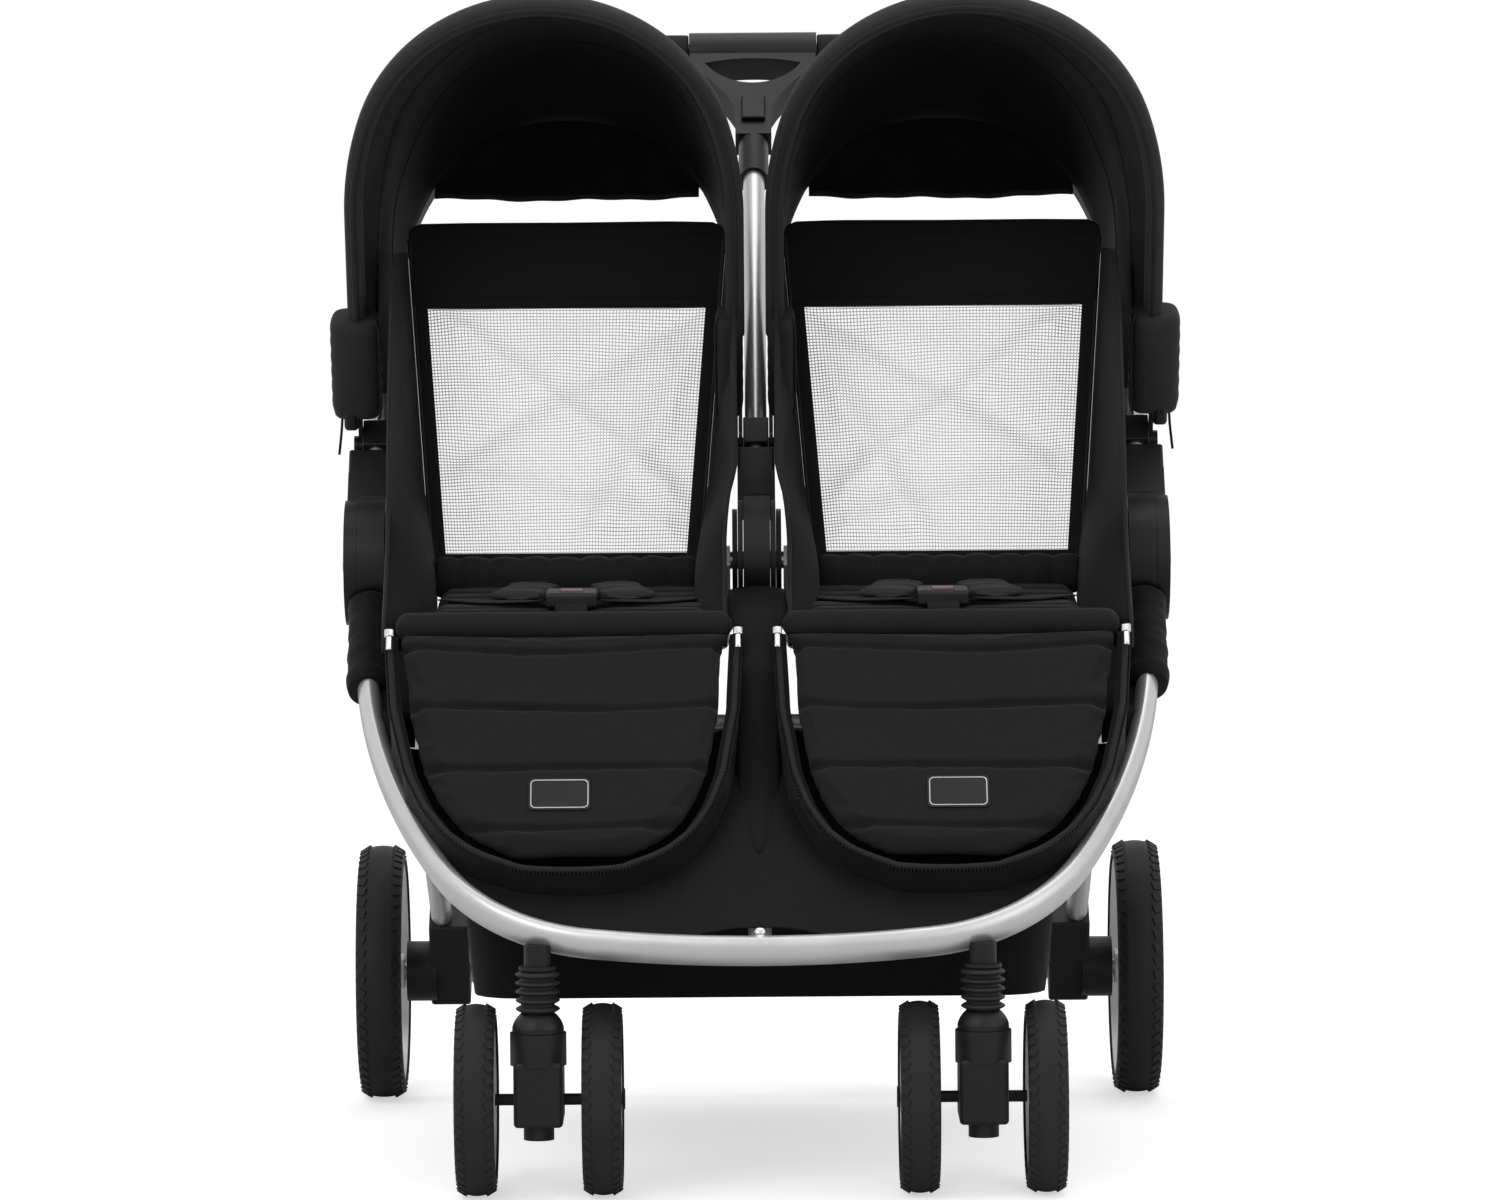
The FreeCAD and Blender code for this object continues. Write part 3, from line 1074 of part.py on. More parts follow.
def canopy_fabric(front_outer, rear_outer, inner):
    """The hood: one curved shell from the front bow to the rear bow, and its rear flap."""
    thickness = number("sizes.bow_band_thickness")
    clear = number("sizes.canopy_gap")
    wall = number("sizes.canopy_wall")
    first = number("sizes.front_bow_angle - sizes.canopy_front_inset")
    last = number("sizes.rear_bow_angle + sizes.canopy_rear_inset")
    front_reach = number("sizes.front_bow_reach") - thickness / 2 - clear
    rear_reach = number("sizes.rear_bow_reach") - thickness / 2 - clear
    level = front_reach * math.sin(math.radians(PUSH_ANGLE + first))
    sections = []
    steps = int(number("sizes.hood_sections"))
    for step in range(steps + 1):
        share = step / steps
        angle = PUSH_ANGLE + first + (last - first) * share
        flat = level / math.sin(math.radians(angle))
        outer = front_outer + (rear_outer - front_outer) * share
        half = (outer - inner) / 2 - clear
        strip = bow_strip(flat + (rear_reach - flat) * share ** 2, half, wall, number("sizes.canopy_hem"))
        strip.Placement = FreeCAD.Placement(PIVOT + FreeCAD.Vector((outer + inner) / 2, 0, 0),
                                            FreeCAD.Rotation(FreeCAD.Vector(1, 0, 0), angle))
        sections.append(strip)
    hood = Part.makeLoft(sections, True, False)
    foot = number("sizes.flap_foot_height - sizes.hub_height - sizes.pivot_reach * sin(sizes.push_slope)") / math.sin(
        math.radians(PUSH_ANGLE + last))
    arch = bow_edges(rear_reach - wall / 2, half - wall / 2, foot)
    flap = Part.Face(Part.Wire(arch + [Part.LineSegment(arch[-1].Vertexes[-1].Point, arch[0].Vertexes[0].Point).toShape()]))
    flap = flap.extrude(FreeCAD.Vector(0, 0, wall))
    flap.translate(FreeCAD.Vector(0, 0, number("sizes.flap_inset")))
    flap.Placement = sections[-1].Placement.multiply(flap.Placement)
    both_sides("canopy_fabric", hood.fuse(flap))


def tilted(slope, x, y, z):
    """The placement of a pad whose length runs forwards and down at a slope, its crown upwards."""
    return FreeCAD.Placement(FreeCAD.Vector(x, y, z), FreeCAD.Rotation(FreeCAD.Vector(1, 0, 0), 90 + slope))


def pad_section(width, thickness, crown, bulge, along):
    """One closed section of a cushion: flat back, bulging sides and a crowned face."""
    half = width / 2
    edge = max(thickness - crown, thickness * 0.5)
    low_right = FreeCAD.Vector(half, 0, along)
    low_left = FreeCAD.Vector(-half, 0, along)
    high_right = FreeCAD.Vector(half, edge, along)
    high_left = FreeCAD.Vector(-half, edge, along)
    return Part.Wire([
        Part.LineSegment(low_left, low_right).toShape(),
        Part.Arc(low_right, FreeCAD.Vector(half + bulge, edge / 2, along), high_right).toShape(),
        Part.Arc(high_right, FreeCAD.Vector(0, thickness, along), high_left).toShape(),
        Part.Arc(high_left, FreeCAD.Vector(-half - bulge, edge / 2, along), low_left).toShape()])


def quilted_pad(length, channels, thickness, depth, width_at):
    """A cushion sewn into cross channels: low at each seam and full between them."""
    crown = number("sizes.crown")
    bulge = number("sizes.side_bulge")
    steps = int(number("sizes.channel_steps"))
    sections = []
    for index in range(channels * steps + 1):
        share = index / (channels * steps)
        swell = math.sin(math.pi * (index % steps) / steps) ** 0.6
        full = thickness - depth * (1 - swell)
        if index in (0, channels * steps):
            full = thickness * number("sizes.pad_end_share")
        sections.append(pad_section(width_at(share), full, crown, bulge, share * length))
    return Part.makeLoft(sections, True, True)


def seats():
    """The rod frames with their hub plates, the quilted seats and the quilted calf pads."""
    rod = number("sizes.seat_rod_radius")
    corner = number("sizes.seat_corner_radius")
    inner = number("sizes.seat_side_inner")
    outer = number("sizes.seat_side_outer")
    depth = number("sizes.seat_rear + sizes.seat_front")
    drop = number("sizes.seat_rod_height_rear - sizes.seat_rod_height_front")
    slope = math.degrees(math.asin(drop / depth))
    turns = [(outer - inner - 2 * corner,), (corner, 90), (depth - 2 * corner,), (corner, 90)] * 2
    loop = turning_path(FreeCAD.Vector(inner + corner, 0, 0), 0, turns)[0]
    section = Part.Wire([Part.Circle(FreeCAD.Vector(inner + corner, 0, 0), FreeCAD.Vector(1, 0, 0), rod).toShape()])
    ring = Part.Wire(loop).makePipeShell([section], True, False)
    lay = FreeCAD.Placement(
        FreeCAD.Vector(0, -number("sizes.seat_front"), number("sizes.seat_rod_height_front")),
        FreeCAD.Rotation(FreeCAD.Vector(1, 0, 0), slope))
    ring.Placement = lay
    frame = add("Part::Feature", "seat_ring")
    frame.Shape = ring
    plates = []
    hub = "sizes.hub_height"
    for name, low in (("inner", "sizes.seat_plate_inner"), ("outer", "sizes.seat_plate_outer")):
        body = add("PartDesign::Body", "seat_plate_" + name)
        plate(body, "seat_plate_sheet_" + name, "YZ_Plane", [
            ("-14", hub + " - 4"), ("-6", hub + " + 13"), ("9", hub + " + 13"), ("sizes.bight_y + 10", "sizes.bight_height + 4"),
            ("sizes.bight_y + 8", "sizes.bight_height - 8"), ("sizes.seat_rear + 7", "sizes.seat_rod_height_rear - 7"),
            ("sizes.seat_rear - 10", "sizes.seat_rod_height_rear - 7")], "sizes.seat_plate_width")
        base_at(body, "%s + sizes.seat_plate_width / 2" % low)
        plates.append(body)
    span = "sizes.seat_plate_outer + sizes.seat_plate_width + 2"
    pin_bore = cylinder_x("seat_pin_bore", "sizes.pin_radius", span, "0", "0", hub)
    rod_bore = cylinder_x("seat_rod_bore", "sizes.hinge_rod_radius + sizes.running_gap", span, "0", "sizes.bight_y", "sizes.bight_height")
    foot = on_ray(FRONT_ANGLE, number("sizes.crossbar_reach"))
    top = FreeCAD.Vector(0, -number("sizes.seat_front"), number("sizes.seat_rod_height_front"))
    posts = []
    for name, x in (("inner", inner + number("sizes.seat_post_inset")), ("outer", outer - number("sizes.seat_post_inset"))):
        shift = FreeCAD.Vector(x, 0, 0)
        post = add("Part::Feature", "seat_post_" + name)
        post.Shape = Part.makeCylinder(number("sizes.seat_post_radius"), (foot - top).Length, top + shift, foot - top)
        posts.append(post)
    bar = cylinder_x("seat_bar_hole", "sizes.crossbar_radius", "2 * (%s)" % span, "-(%s)" % span,
                     "-sizes.crossbar_reach * cos(sizes.front_slope)", "sizes.hub_height - sizes.crossbar_reach * sin(sizes.front_slope)")
    right = cut("seat_frame_right", fuse("seat_frame_body", [frame] + plates + posts), fuse("seat_frame_holes", [pin_bore, rod_bore, bar]))
    keep(group("seat_frames", [right, mirrored("seat_frame_left", right)]), "seat_frames")

    draw_in = number("sizes.side_draw_in")
    seat_width = number("sizes.seat_pad_width")
    calf_width = number("sizes.calf_pad_width")
    foot_width = number("sizes.calf_pad_foot_width")

    def seat_width_at(share):
        return seat_width - draw_in * math.sin(math.pi * share)

    def calf_width_at(share):
        narrowing = max(0.0, share - number("sizes.calf_straight_share")) / (1 - number("sizes.calf_straight_share"))
        return calf_width - draw_in * math.sin(math.pi * share) - (calf_width - foot_width) * (1 - math.sqrt(1 - narrowing ** 2))

    seat_x = number("(sizes.seat_side_inner + sizes.seat_side_outer) / 2")
    clear = number("sizes.seat_rod_radius + sizes.seat_pad_gap")
    rear_y = number("sizes.seat_pad_rear")
    rear_z = number("sizes.seat_rod_height_front") + (rear_y + number("sizes.seat_front")) * math.tan(math.radians(slope))
    for side, sign in (("right", 1), ("left", -1)):
        pad = quilted_pad(number("sizes.seat_pad_length"), int(number("sizes.seat_channels")), number("sizes.seat_pad_thickness"),
                          number("sizes.channel_depth"), seat_width_at)
        shaped("seat_pad_" + side, pad, tilted(slope, sign * seat_x, rear_y, rear_z + clear / math.cos(math.radians(slope))))
        calf = quilted_pad(number("sizes.calf_pad_length"), int(number("sizes.calf_channels")), number("sizes.calf_pad_thickness"),
                           number("sizes.channel_depth"), calf_width_at)
        shaped("calf_pad_" + side, calf, tilted(number("sizes.calf_pad_slope"), sign * number("sizes.calf_pad_centre"),
                                                -number("sizes.calf_pad_top_y"), number("sizes.calf_pad_top_height")))
    return slope, seat_x, rear_y, rear_z + clear / math.cos(math.radians(slope))


def badge_plates():
    """The two small bare plates on the calf pads."""
    width = number("sizes.badge_width")
    height = number("sizes.badge_height")
    place = number("sizes.badge_place")
    plates = []
    for sign in (1, -1):
        sheet_metal = Part.makeBox(width, number("sizes.badge_thickness"), height, FreeCAD.Vector(-width / 2, 0, place - height / 2))
        rim = [edge for edge in sheet_metal.Edges if abs(edge.tangentAt(edge.FirstParameter).y) > 0.9]
        sheet_metal = sheet_metal.makeFillet(number("sizes.badge_corner"), rim)
        sheet_metal.translate(FreeCAD.Vector(0, number("sizes.calf_pad_thickness + sizes.seat_pad_gap"), 0))
        sheet_metal.Placement = tilted(number("sizes.calf_pad_slope"), sign * number("sizes.calf_pad_centre"),
                                       -number("sizes.calf_pad_top_y"), number("sizes.calf_pad_top_height")).multiply(sheet_metal.Placement)
        plates.append(sheet_metal)
    shaped("badge_plates", Part.makeCompound(plates))


def leg_panel():
    """The cloth that fills the hoop under the calf pads, ridged over the centre tube."""
    inset = number("sizes.panel_inset")
    side_radius = number("sizes.hoop_side_radius")
    corner_radius = number("sizes.hoop_corner_radius")
    side_turn = number("sizes.hoop_side_turn")
    corner_turn = number("sizes.hoop_corner_turn")
    first = math.radians(side_turn)
    second = math.radians(side_turn + corner_turn)
    half_width = number("sizes.frame_half_width")
    inwards = side_radius * (1 - math.cos(first)) + corner_radius * (math.cos(first) - math.cos(second))
    base_radius = (half_width - inwards) / math.cos(second)
    bend = hoop_bend_start()
    top = number("sizes.panel_top")
    start = FreeCAD.Vector(half_width - inset, bend - 40, 0)
    edges, end = turning_path(start, math.pi / 2, [
        (40,), (side_radius - inset, side_turn), (corner_radius - inset, corner_turn),
        (base_radius - inset, 2 * (90 - side_turn - corner_turn)),
        (corner_radius - inset, corner_turn), (side_radius - inset, side_turn), (40,)])
    edges.append(Part.LineSegment(end, start).toShape())
    field = Part.Face(Part.Wire(edges))
    slab = field.extrude(FreeCAD.Vector(0, 0, 80))
    slab.translate(FreeCAD.Vector(0, 0, -40))
    thickness = number("sizes.panel_thickness")
    ridge = number("sizes.tube_depth / 2 + sizes.panel_tube_gap") + thickness
    ridge_half = number("sizes.panel_ridge_half")
    ridge_foot = number("sizes.panel_ridge_foot")
    rim = [(-half_width, 0), (-ridge_foot, 0), (-ridge_half, -ridge), (ridge_half, -ridge), (ridge_foot, 0), (half_width, 0)]
    loop = [FreeCAD.Vector(x, top, z) for x, z in rim]
    loop += [FreeCAD.Vector(x, top, z + thickness) for x, z in reversed(rim)]
    roof = Part.Face(Part.makePolygon(loop + loop[:1])).extrude(FreeCAD.Vector(0, number("sizes.front_reach") - top, 0))
    shaped("leg_panel", roof.common(slab), flat_to_front())


def back_panel(sign):
    """One backrest: top band, borders, hem sleeve and the net in its window."""
    length = number("sizes.back_length")
    thick = number("sizes.back_thickness")
    border = number("sizes.back_side_border")
    top_half = number("sizes.back_width_top") / 2
    low_half = number("sizes.back_width_bottom") / 2
    low = number("sizes.back_bottom_border")
    high = length - number("sizes.back_band_height")

    def half_at(height):
        return low_half + (top_half - low_half) * height / length

    def quad(heights, trim, y):
        a, b = heights
        return [FreeCAD.Vector(-half_at(a) + trim, y, a), FreeCAD.Vector(half_at(a) - trim, y, a),
                FreeCAD.Vector(half_at(b) - trim, y, b), FreeCAD.Vector(-half_at(b) + trim, y, b)]

    def slab(points, depth):
        return Part.Face(Part.makePolygon(points + points[:1])).extrude(FreeCAD.Vector(0, depth, 0))

    panel = slab(quad((0, length), 0, -thick / 2), thick)
    corners = [edge for edge in panel.Edges if abs(edge.tangentAt(edge.FirstParameter).y) > 0.9
               and edge.BoundBox.ZMin > length / 2]
    panel = panel.makeFillet(number("sizes.back_corner"), corners)
    panel = panel.cut(slab(quad((low, high), border, -thick), 2 * thick))
    net_depth = number("sizes.net_thickness")
    net = slab(quad((low - 2, high + 2), border - 2, -net_depth / 2), net_depth)
    columns = int(number("sizes.net_columns"))
    rows = int(number("sizes.net_rows"))
    cord = number("sizes.net_cord")
    row_pitch = (high - low - cord) / rows
    faces = []
    for row in range(rows):
        floor = low + cord + row * row_pitch
        ceiling = floor + row_pitch - cord
        half = half_at(floor) - border
        column_pitch = (2 * half - cord) / columns
        for column in range(columns):
            left = -half + cord + column * column_pitch
            right = left + column_pitch - cord
            corners = [FreeCAD.Vector(left, 0, floor), FreeCAD.Vector(right, 0, floor),
                       FreeCAD.Vector(right, 0, ceiling), FreeCAD.Vector(left, 0, ceiling)]
            faces.append(Part.makePolygon(corners + corners[:1]))
    outer = quad((low - 2, high + 2), border - 2, 0)
    holed = Part.Face([Part.makePolygon(outer + outer[:1])] + faces)
    holed.validate()
    net = holed.extrude(FreeCAD.Vector(0, net_depth, 0))
    net.translate(FreeCAD.Vector(0, -net_depth / 2, 0))
    sleeve_half = low_half - 1
    sleeve = Part.makeCylinder(number("sizes.back_sleeve_radius"), 2 * sleeve_half, FreeCAD.Vector(-sleeve_half, 0, 0), FreeCAD.Vector(1, 0, 0))
    bore = Part.makeCylinder(number("sizes.hinge_rod_radius + sizes.running_gap"), 2 * sleeve_half + 8,
                             FreeCAD.Vector(-sleeve_half - 4, 0, 0), FreeCAD.Vector(1, 0, 0))
    return panel.fuse([net, sleeve]).cut(bore)


def backrests():
    """The rods in the seat frames and the two reclining backrests that turn on them."""
    length = "sizes.seat_plate_outer + sizes.seat_plate_width - sizes.seat_plate_inner"
    rod = cylinder_x("hinge_rod_right", "sizes.hinge_rod_radius", length, "sizes.seat_plate_inner", "sizes.bight_y", "sizes.bight_height")
    keep(group("back_hinge_rods", [rod, mirrored("hinge_rod_left", rod)]), "back_hinge_rods")
    bight = FreeCAD.Vector(0, number("sizes.bight_y"), number("sizes.bight_height"))
    for side, sign in (("right", 1), ("left", -1)):
        place = ray(number("sizes.back_slope"), bight + FreeCAD.Vector(sign * number("sizes.back_centre"), 0, 0))
        shaped("backrest_" + side, back_panel(sign), place)


def side_wings():
    """The cloth wings between the backrests and the outer push tubes."""
    body = add("PartDesign::Body", "wing_body")
    plate(body, "wing_sheet", "YZ_Plane", [
        ("-20", "sizes.wing_foot"), ("-sizes.wing_front", "sizes.wing_foot + 26"), ("-sizes.wing_front + 20", "sizes.wing_foot + 70"),
        ("sizes.wing_rear - 70", "sizes.wing_top"), ("sizes.wing_rear + 40", "sizes.wing_top"),
        ("sizes.wing_rear + 14", "sizes.wing_foot + 36"), ("sizes.bight_y + 40", "sizes.wing_foot")],
        "sizes.wing_thickness", {3: "400"})
    base_at(body, "sizes.frame_half_width - sizes.tube_width / 2 - sizes.clamp_wall - sizes.bow_band_thickness - 2 * sizes.bow_gap"
            " - sizes.bow_pin_proud - sizes.wing_gap - sizes.wing_thickness / 2")
    keep(group("side_wings", [body, mirrored("wing_left", body)]), "side_wings")


def harness(slope, seat_x, rear_y, rear_z):
    """The harness pads and buckles that lie on the seats, and the buckles' red buttons."""
    width = number("sizes.harness_pad_width")
    length = number("sizes.harness_pad_length")
    thick = number("sizes.harness_pad_thickness")
    lift = number("sizes.seat_pad_thickness + sizes.seat_pad_gap")
    pads = []
    buckles = []
    for side, sign in (("right", 1), ("left", -1)):
        seat = tilted(slope, sign * seat_x, rear_y, rear_z)
        for hand in (1, -1):
            pad = Part.makeBox(width, thick, length, FreeCAD.Vector(-width / 2, lift, -length / 2))
            pad = pad.makeFillet(thick * 0.35, pad.Edges)
            turn = FreeCAD.Placement(
                FreeCAD.Vector(hand * number("sizes.harness_spacing"), 0, number("sizes.harness_place") + length / 2),
                FreeCAD.Rotation(FreeCAD.Vector(0, 1, 0), hand * number("sizes.harness_turn")))
            pad.Placement = seat.multiply(turn)
            pads.append(pad)
        buckle_width = number("sizes.buckle_width")
        buckle_length = number("sizes.buckle_length")
        buckle_thick = number("sizes.buckle_thickness")
        button = number("sizes.buckle_button_width")
        gap = number("sizes.button_gap")
        travel = number("sizes.buckle_button_travel")
        depth = number("sizes.buckle_pocket")
        middle = number("sizes.buckle_place")
        case = Part.makeBox(buckle_width, buckle_thick, buckle_length, FreeCAD.Vector(-buckle_width / 2, lift, middle - buckle_length / 2))
        case = case.makeFillet(buckle_thick * 0.25, case.Edges)
        well = Part.makeBox(button + 2 * gap, depth + 1, button + 2 * gap,
                            FreeCAD.Vector(-button / 2 - gap, lift + buckle_thick - depth, middle - button / 2 - gap))
        case = case.cut(well)
        case.Placement = seat
        buckles.append(case)
        key_height = depth - travel - gap + 1
        key = Part.makeBox(button, key_height, button,
                           FreeCAD.Vector(-button / 2, lift + buckle_thick + 1 - key_height, middle - button / 2))
        top_edges = [edge for edge in key.Edges if edge.BoundBox.YMin > lift + buckle_thick]
        key = key.makeFillet(1.2, top_edges)
        shaped("buckle_button_" + side, key, seat)
    shaped("harness_pads", Part.makeCompound(pads))
    shaped("buckles", Part.makeCompound(buckles))


def basket_loop(front, rear, half, corner, height):
    """A rounded rectangle at one height."""
    return Part.Wire(turning_path(FreeCAD.Vector(-half + corner, -front, height), 0, [
        (2 * (half - corner),), (corner, 90), (rear + front - 2 * corner,), (corner, 90),
        (2 * (half - corner),), (corner, 90), (rear + front - 2 * corner,), (corner, 90)])[0])


def basket():
    """The open shopping basket slung between the centre leg and the front frame."""
    floor = number("sizes.basket_floor")
    top = floor + number("sizes.basket_height")
    wall = number("sizes.basket_wall")
    half = number("sizes.basket_half_width")
    corner = number("sizes.basket_corner_radius")
    slope = math.radians(number("sizes.rear_slope"))
    clear = number("sizes.centre_leg_radius + sizes.panel_tube_gap")

    def rear_at(height):
        return ((number("sizes.hub_height") - height) * math.cos(slope) - clear) / math.sin(slope)

    outer = Part.makeLoft([
        basket_loop(number("sizes.basket_front_foot"), rear_at(floor), half - 12, corner, floor),
        basket_loop(number("sizes.basket_front"), rear_at(top), half, corner, top)], True, True)
    inner = Part.makeLoft([
        basket_loop(number("sizes.basket_front_foot") - wall, rear_at(floor) - wall, half - 12 - wall, corner - wall, floor + wall),
        basket_loop(number("sizes.basket_front") - wall, rear_at(top) - wall, half - wall, corner - wall, top + 1)], True, True)
    shaped("basket", outer.cut(inner))


hub_housings()
fold_pins()
push_knuckles()
rear_knuckles()
push_tubes()
height_collars()
canopy_clamps()
front_hoop()
front_crossbars()
rear_wheels()
front_wheels()
rear_legs()
rear_axle()
brake_pedal()
handle()
caster_brackets()
bellows()
casters()
canopies()
seat_lie = seats()
badge_plates()
leg_panel()
backrests()
side_wings()
harness(*seat_lie)
basket()
document.recompute()

for item in document.Objects:
    if "Invalid" in item.State or "Error" in item.State:
        raise RuntimeError("%s did not compute" % item.Label)
for item in PARTS:
    if item.Shape.isNull() or not item.Shape.isValid():
        raise RuntimeError("%s has no valid shape" % item.Label)
os.makedirs("parts", exist_ok=True)
for item in PARTS:
    item.Shape.exportStep(os.path.join("parts", item.Label + ".step"))
print("%d pieces written" % len(PARTS))
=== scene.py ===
import bmesh
import bpy
import json
import math
from mathutils import Matrix, Vector, noise

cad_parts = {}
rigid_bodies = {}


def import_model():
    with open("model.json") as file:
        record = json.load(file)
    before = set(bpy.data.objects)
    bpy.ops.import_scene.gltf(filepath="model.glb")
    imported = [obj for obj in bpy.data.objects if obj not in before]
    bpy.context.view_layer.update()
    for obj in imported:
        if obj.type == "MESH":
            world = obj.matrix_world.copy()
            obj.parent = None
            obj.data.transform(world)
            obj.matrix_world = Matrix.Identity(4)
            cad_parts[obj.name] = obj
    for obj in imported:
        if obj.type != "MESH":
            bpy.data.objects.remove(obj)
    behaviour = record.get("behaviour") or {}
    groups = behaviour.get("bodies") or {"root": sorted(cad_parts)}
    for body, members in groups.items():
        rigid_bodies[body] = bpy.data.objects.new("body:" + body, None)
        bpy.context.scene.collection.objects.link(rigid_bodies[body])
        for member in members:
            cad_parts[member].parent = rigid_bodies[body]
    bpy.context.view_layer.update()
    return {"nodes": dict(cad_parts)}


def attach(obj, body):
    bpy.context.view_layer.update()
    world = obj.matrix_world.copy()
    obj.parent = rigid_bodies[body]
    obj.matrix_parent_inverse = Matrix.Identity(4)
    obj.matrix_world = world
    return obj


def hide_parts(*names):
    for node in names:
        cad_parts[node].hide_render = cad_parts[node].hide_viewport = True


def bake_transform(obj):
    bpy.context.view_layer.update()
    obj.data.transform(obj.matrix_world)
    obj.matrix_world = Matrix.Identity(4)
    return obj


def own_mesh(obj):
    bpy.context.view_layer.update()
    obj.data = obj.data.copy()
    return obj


# An empty scene, in case the scene starts with objects of its own
for item in list(bpy.data.objects):
    bpy.data.objects.remove(item)
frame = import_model()
print("stroller: frame loaded")

# Side view: Y is depth with the front at minus, Z is up, lengths in metres
layout = {
    "hub": (0.0, 0.0, 0.517),
    "pushAngle": 46.16,
    "hoopAngle": 216.3,
    "canopyReach": 0.1393,
    "gripReach": 0.6295,
}


def rayPoint(angle, reach, start, x=0.0):
    turn = math.radians(angle)
    return Vector((start[0] + x, start[1] + reach * math.cos(turn), start[2] + reach * math.sin(turn)))


hub = Vector(layout["hub"])
canopyPivot = rayPoint(layout["pushAngle"], layout["canopyReach"], hub)
gripCentre = rayPoint(layout["pushAngle"], layout["gripReach"], hub)


def ease(value):
    value = max(0.0, min(1.0, value))
    return value * value * (3 - 2 * value)


def mix(a, b, share):
    return a + (b - a) * share


# Camera at the photograph's place: level with the handle, looking a little down
view = {"place": (-0.0064, -6.754, 0.971), "down": 4.15, "roll": -0.42, "lens": 180.7}
camera = bpy.data.cameras.new("camera")
camera.lens = view["lens"]
camera.sensor_width = 36
camera.clip_end = 60
cameraObject = bpy.data.objects.new("camera", camera)
bpy.context.scene.collection.objects.link(cameraObject)
cameraObject.matrix_world = (Matrix.Translation(view["place"]) @ Matrix.Rotation(math.radians(90 - view["down"]), 4,
        "X")
                             @ Matrix.Rotation(math.radians(view["roll"]), 4, "Z"))
bpy.context.scene.camera = cameraObject


# Node helpers

def addNode(tree, kind, links=None, **values):
    node = tree.nodes.new(kind)
    for key, value in values.items():
        setattr(node, key, value)
    for socket, value in (links or {}).items():
        target = node.inputs[socket]
        if hasattr(value, "is_output"):
            tree.links.new(value, target)
        else:
            target.default_value = value
    return node


def newGroup(name, inputs, outputs):
    group = bpy.data.node_groups.new(name, "ShaderNodeTree")
    for label, kind, value in inputs:
        socket = group.interface.new_socket(label, in_out="INPUT", socket_type=kind)
        if value is not None:
            socket.default_value = value
    for label in outputs:
        group.interface.new_socket(label, in_out="OUTPUT", socket_type="NodeSocketFloat")
    return group, group.nodes.new("NodeGroupInput"), group.nodes.new("NodeGroupOutput")


def mathNode(tree, operation, a, b=0.0, c=None):
    node = addNode(tree, "ShaderNodeMath", {0: a, 1: b}, operation=operation)
    if c is not None:
        if hasattr(c, "is_output"):
            tree.links.new(c, node.inputs[2])
        else:
            node.inputs[2].default_value = c
    return node.outputs[0]


def weaveGroup():
    group, start, end = newGroup("clothWeave",
                                 [("Vector", "NodeSocketVector", None), ("Threads", "NodeSocketFloat", 1500.0)],
                                 ["Height", "Tone"])
    split = addNode(group, "ShaderNodeSeparateXYZ", {0: start.outputs["Vector"]})
    across = mathNode(group, "MULTIPLY_ADD", split.outputs[1], 0.37, split.outputs[0])
    along = mathNode(group, "MULTIPLY_ADD", split.outputs[1], -0.61, split.outputs[2])
    warp = mathNode(group, "SINE", mathNode(group, "MULTIPLY", across, start.outputs["Threads"]))
    weft = mathNode(group, "SINE", mathNode(group, "MULTIPLY", along, start.outputs["Threads"]))
    cross = mathNode(group, "MULTIPLY", warp, weft)
    slub = addNode(group, "ShaderNodeTexNoise", {"Vector": start.outputs["Vector"], "Scale": 260.0, "Detail": 3.0})
    patch = addNode(group, "ShaderNodeTexNoise", {"Vector": start.outputs["Vector"], "Scale": 22.0, "Detail": 4.0})
    height = mathNode(group, "MULTIPLY_ADD", slub.outputs["Fac"], 0.8, mathNode(group, "MULTIPLY", cross, 0.5))
    tone = mathNode(group, "MULTIPLY_ADD", patch.outputs["Fac"], 0.65,
                    mathNode(group, "MULTIPLY", slub.outputs["Fac"], 0.35))
    group.links.new(height, end.inputs["Height"])
    group.links.new(tone, end.inputs["Tone"])
    return group


def grainGroup():
    group, start, end = newGroup("mouldGrain",
                                 [("Vector", "NodeSocketVector", None), ("Scale", "NodeSocketFloat", 900.0)],
                                 ["Height", "Tone"])
    fine = addNode(group, "ShaderNodeTexNoise",
                   {"Vector": start.outputs["Vector"], "Scale": start.outputs["Scale"], "Detail": 2.0})
    wide = addNode(group, "ShaderNodeTexNoise",
                   {"Vector": start.outputs["Vector"], "Scale": 14.0, "Detail": 5.0, "Roughness": 0.6})
    group.links.new(fine.outputs["Fac"], end.inputs["Height"])
    group.links.new(wide.outputs["Fac"], end.inputs["Tone"])
    return group


def creaseGroup():
    group, start, end = newGroup("clothCreases",
                                 [("Vector", "NodeSocketVector", None), ("Scale", "NodeSocketFloat", 9.0)],
                                 ["Height"])
    soft = addNode(group, "ShaderNodeTexNoise",
                   {"Vector": start.outputs["Vector"], "Scale": start.outputs["Scale"], "Detail": 2.5,
                                                 "Distortion": 0.9})
    ridge = mathNode(group, "ABSOLUTE", mathNode(group, "SUBTRACT", soft.outputs["Fac"], 0.5))
    group.links.new(mathNode(group, "POWER", ridge, 0.7), end.inputs["Height"])
    return group


groups = {"weave": weaveGroup(), "grain": grainGroup(), "creases": creaseGroup()}


def newMaterial(name):
    material = bpy.data.materials.new(name)
    material.use_nodes = True
    tree = material.node_tree
    shader = tree.nodes["Principled BSDF"]
    place = tree.nodes.new("ShaderNodeTexCoord")
    return material, tree, shader, place.outputs["Object"]


def useGroup(tree, group, links):
    node = tree.nodes.new("ShaderNodeGroup")
    node.node_tree = groups[group]
    for key, value in links.items():
        if hasattr(value, "is_output"):
            tree.links.new(value, node.inputs[key])
        else:
            node.inputs[key].default_value = value
    return node


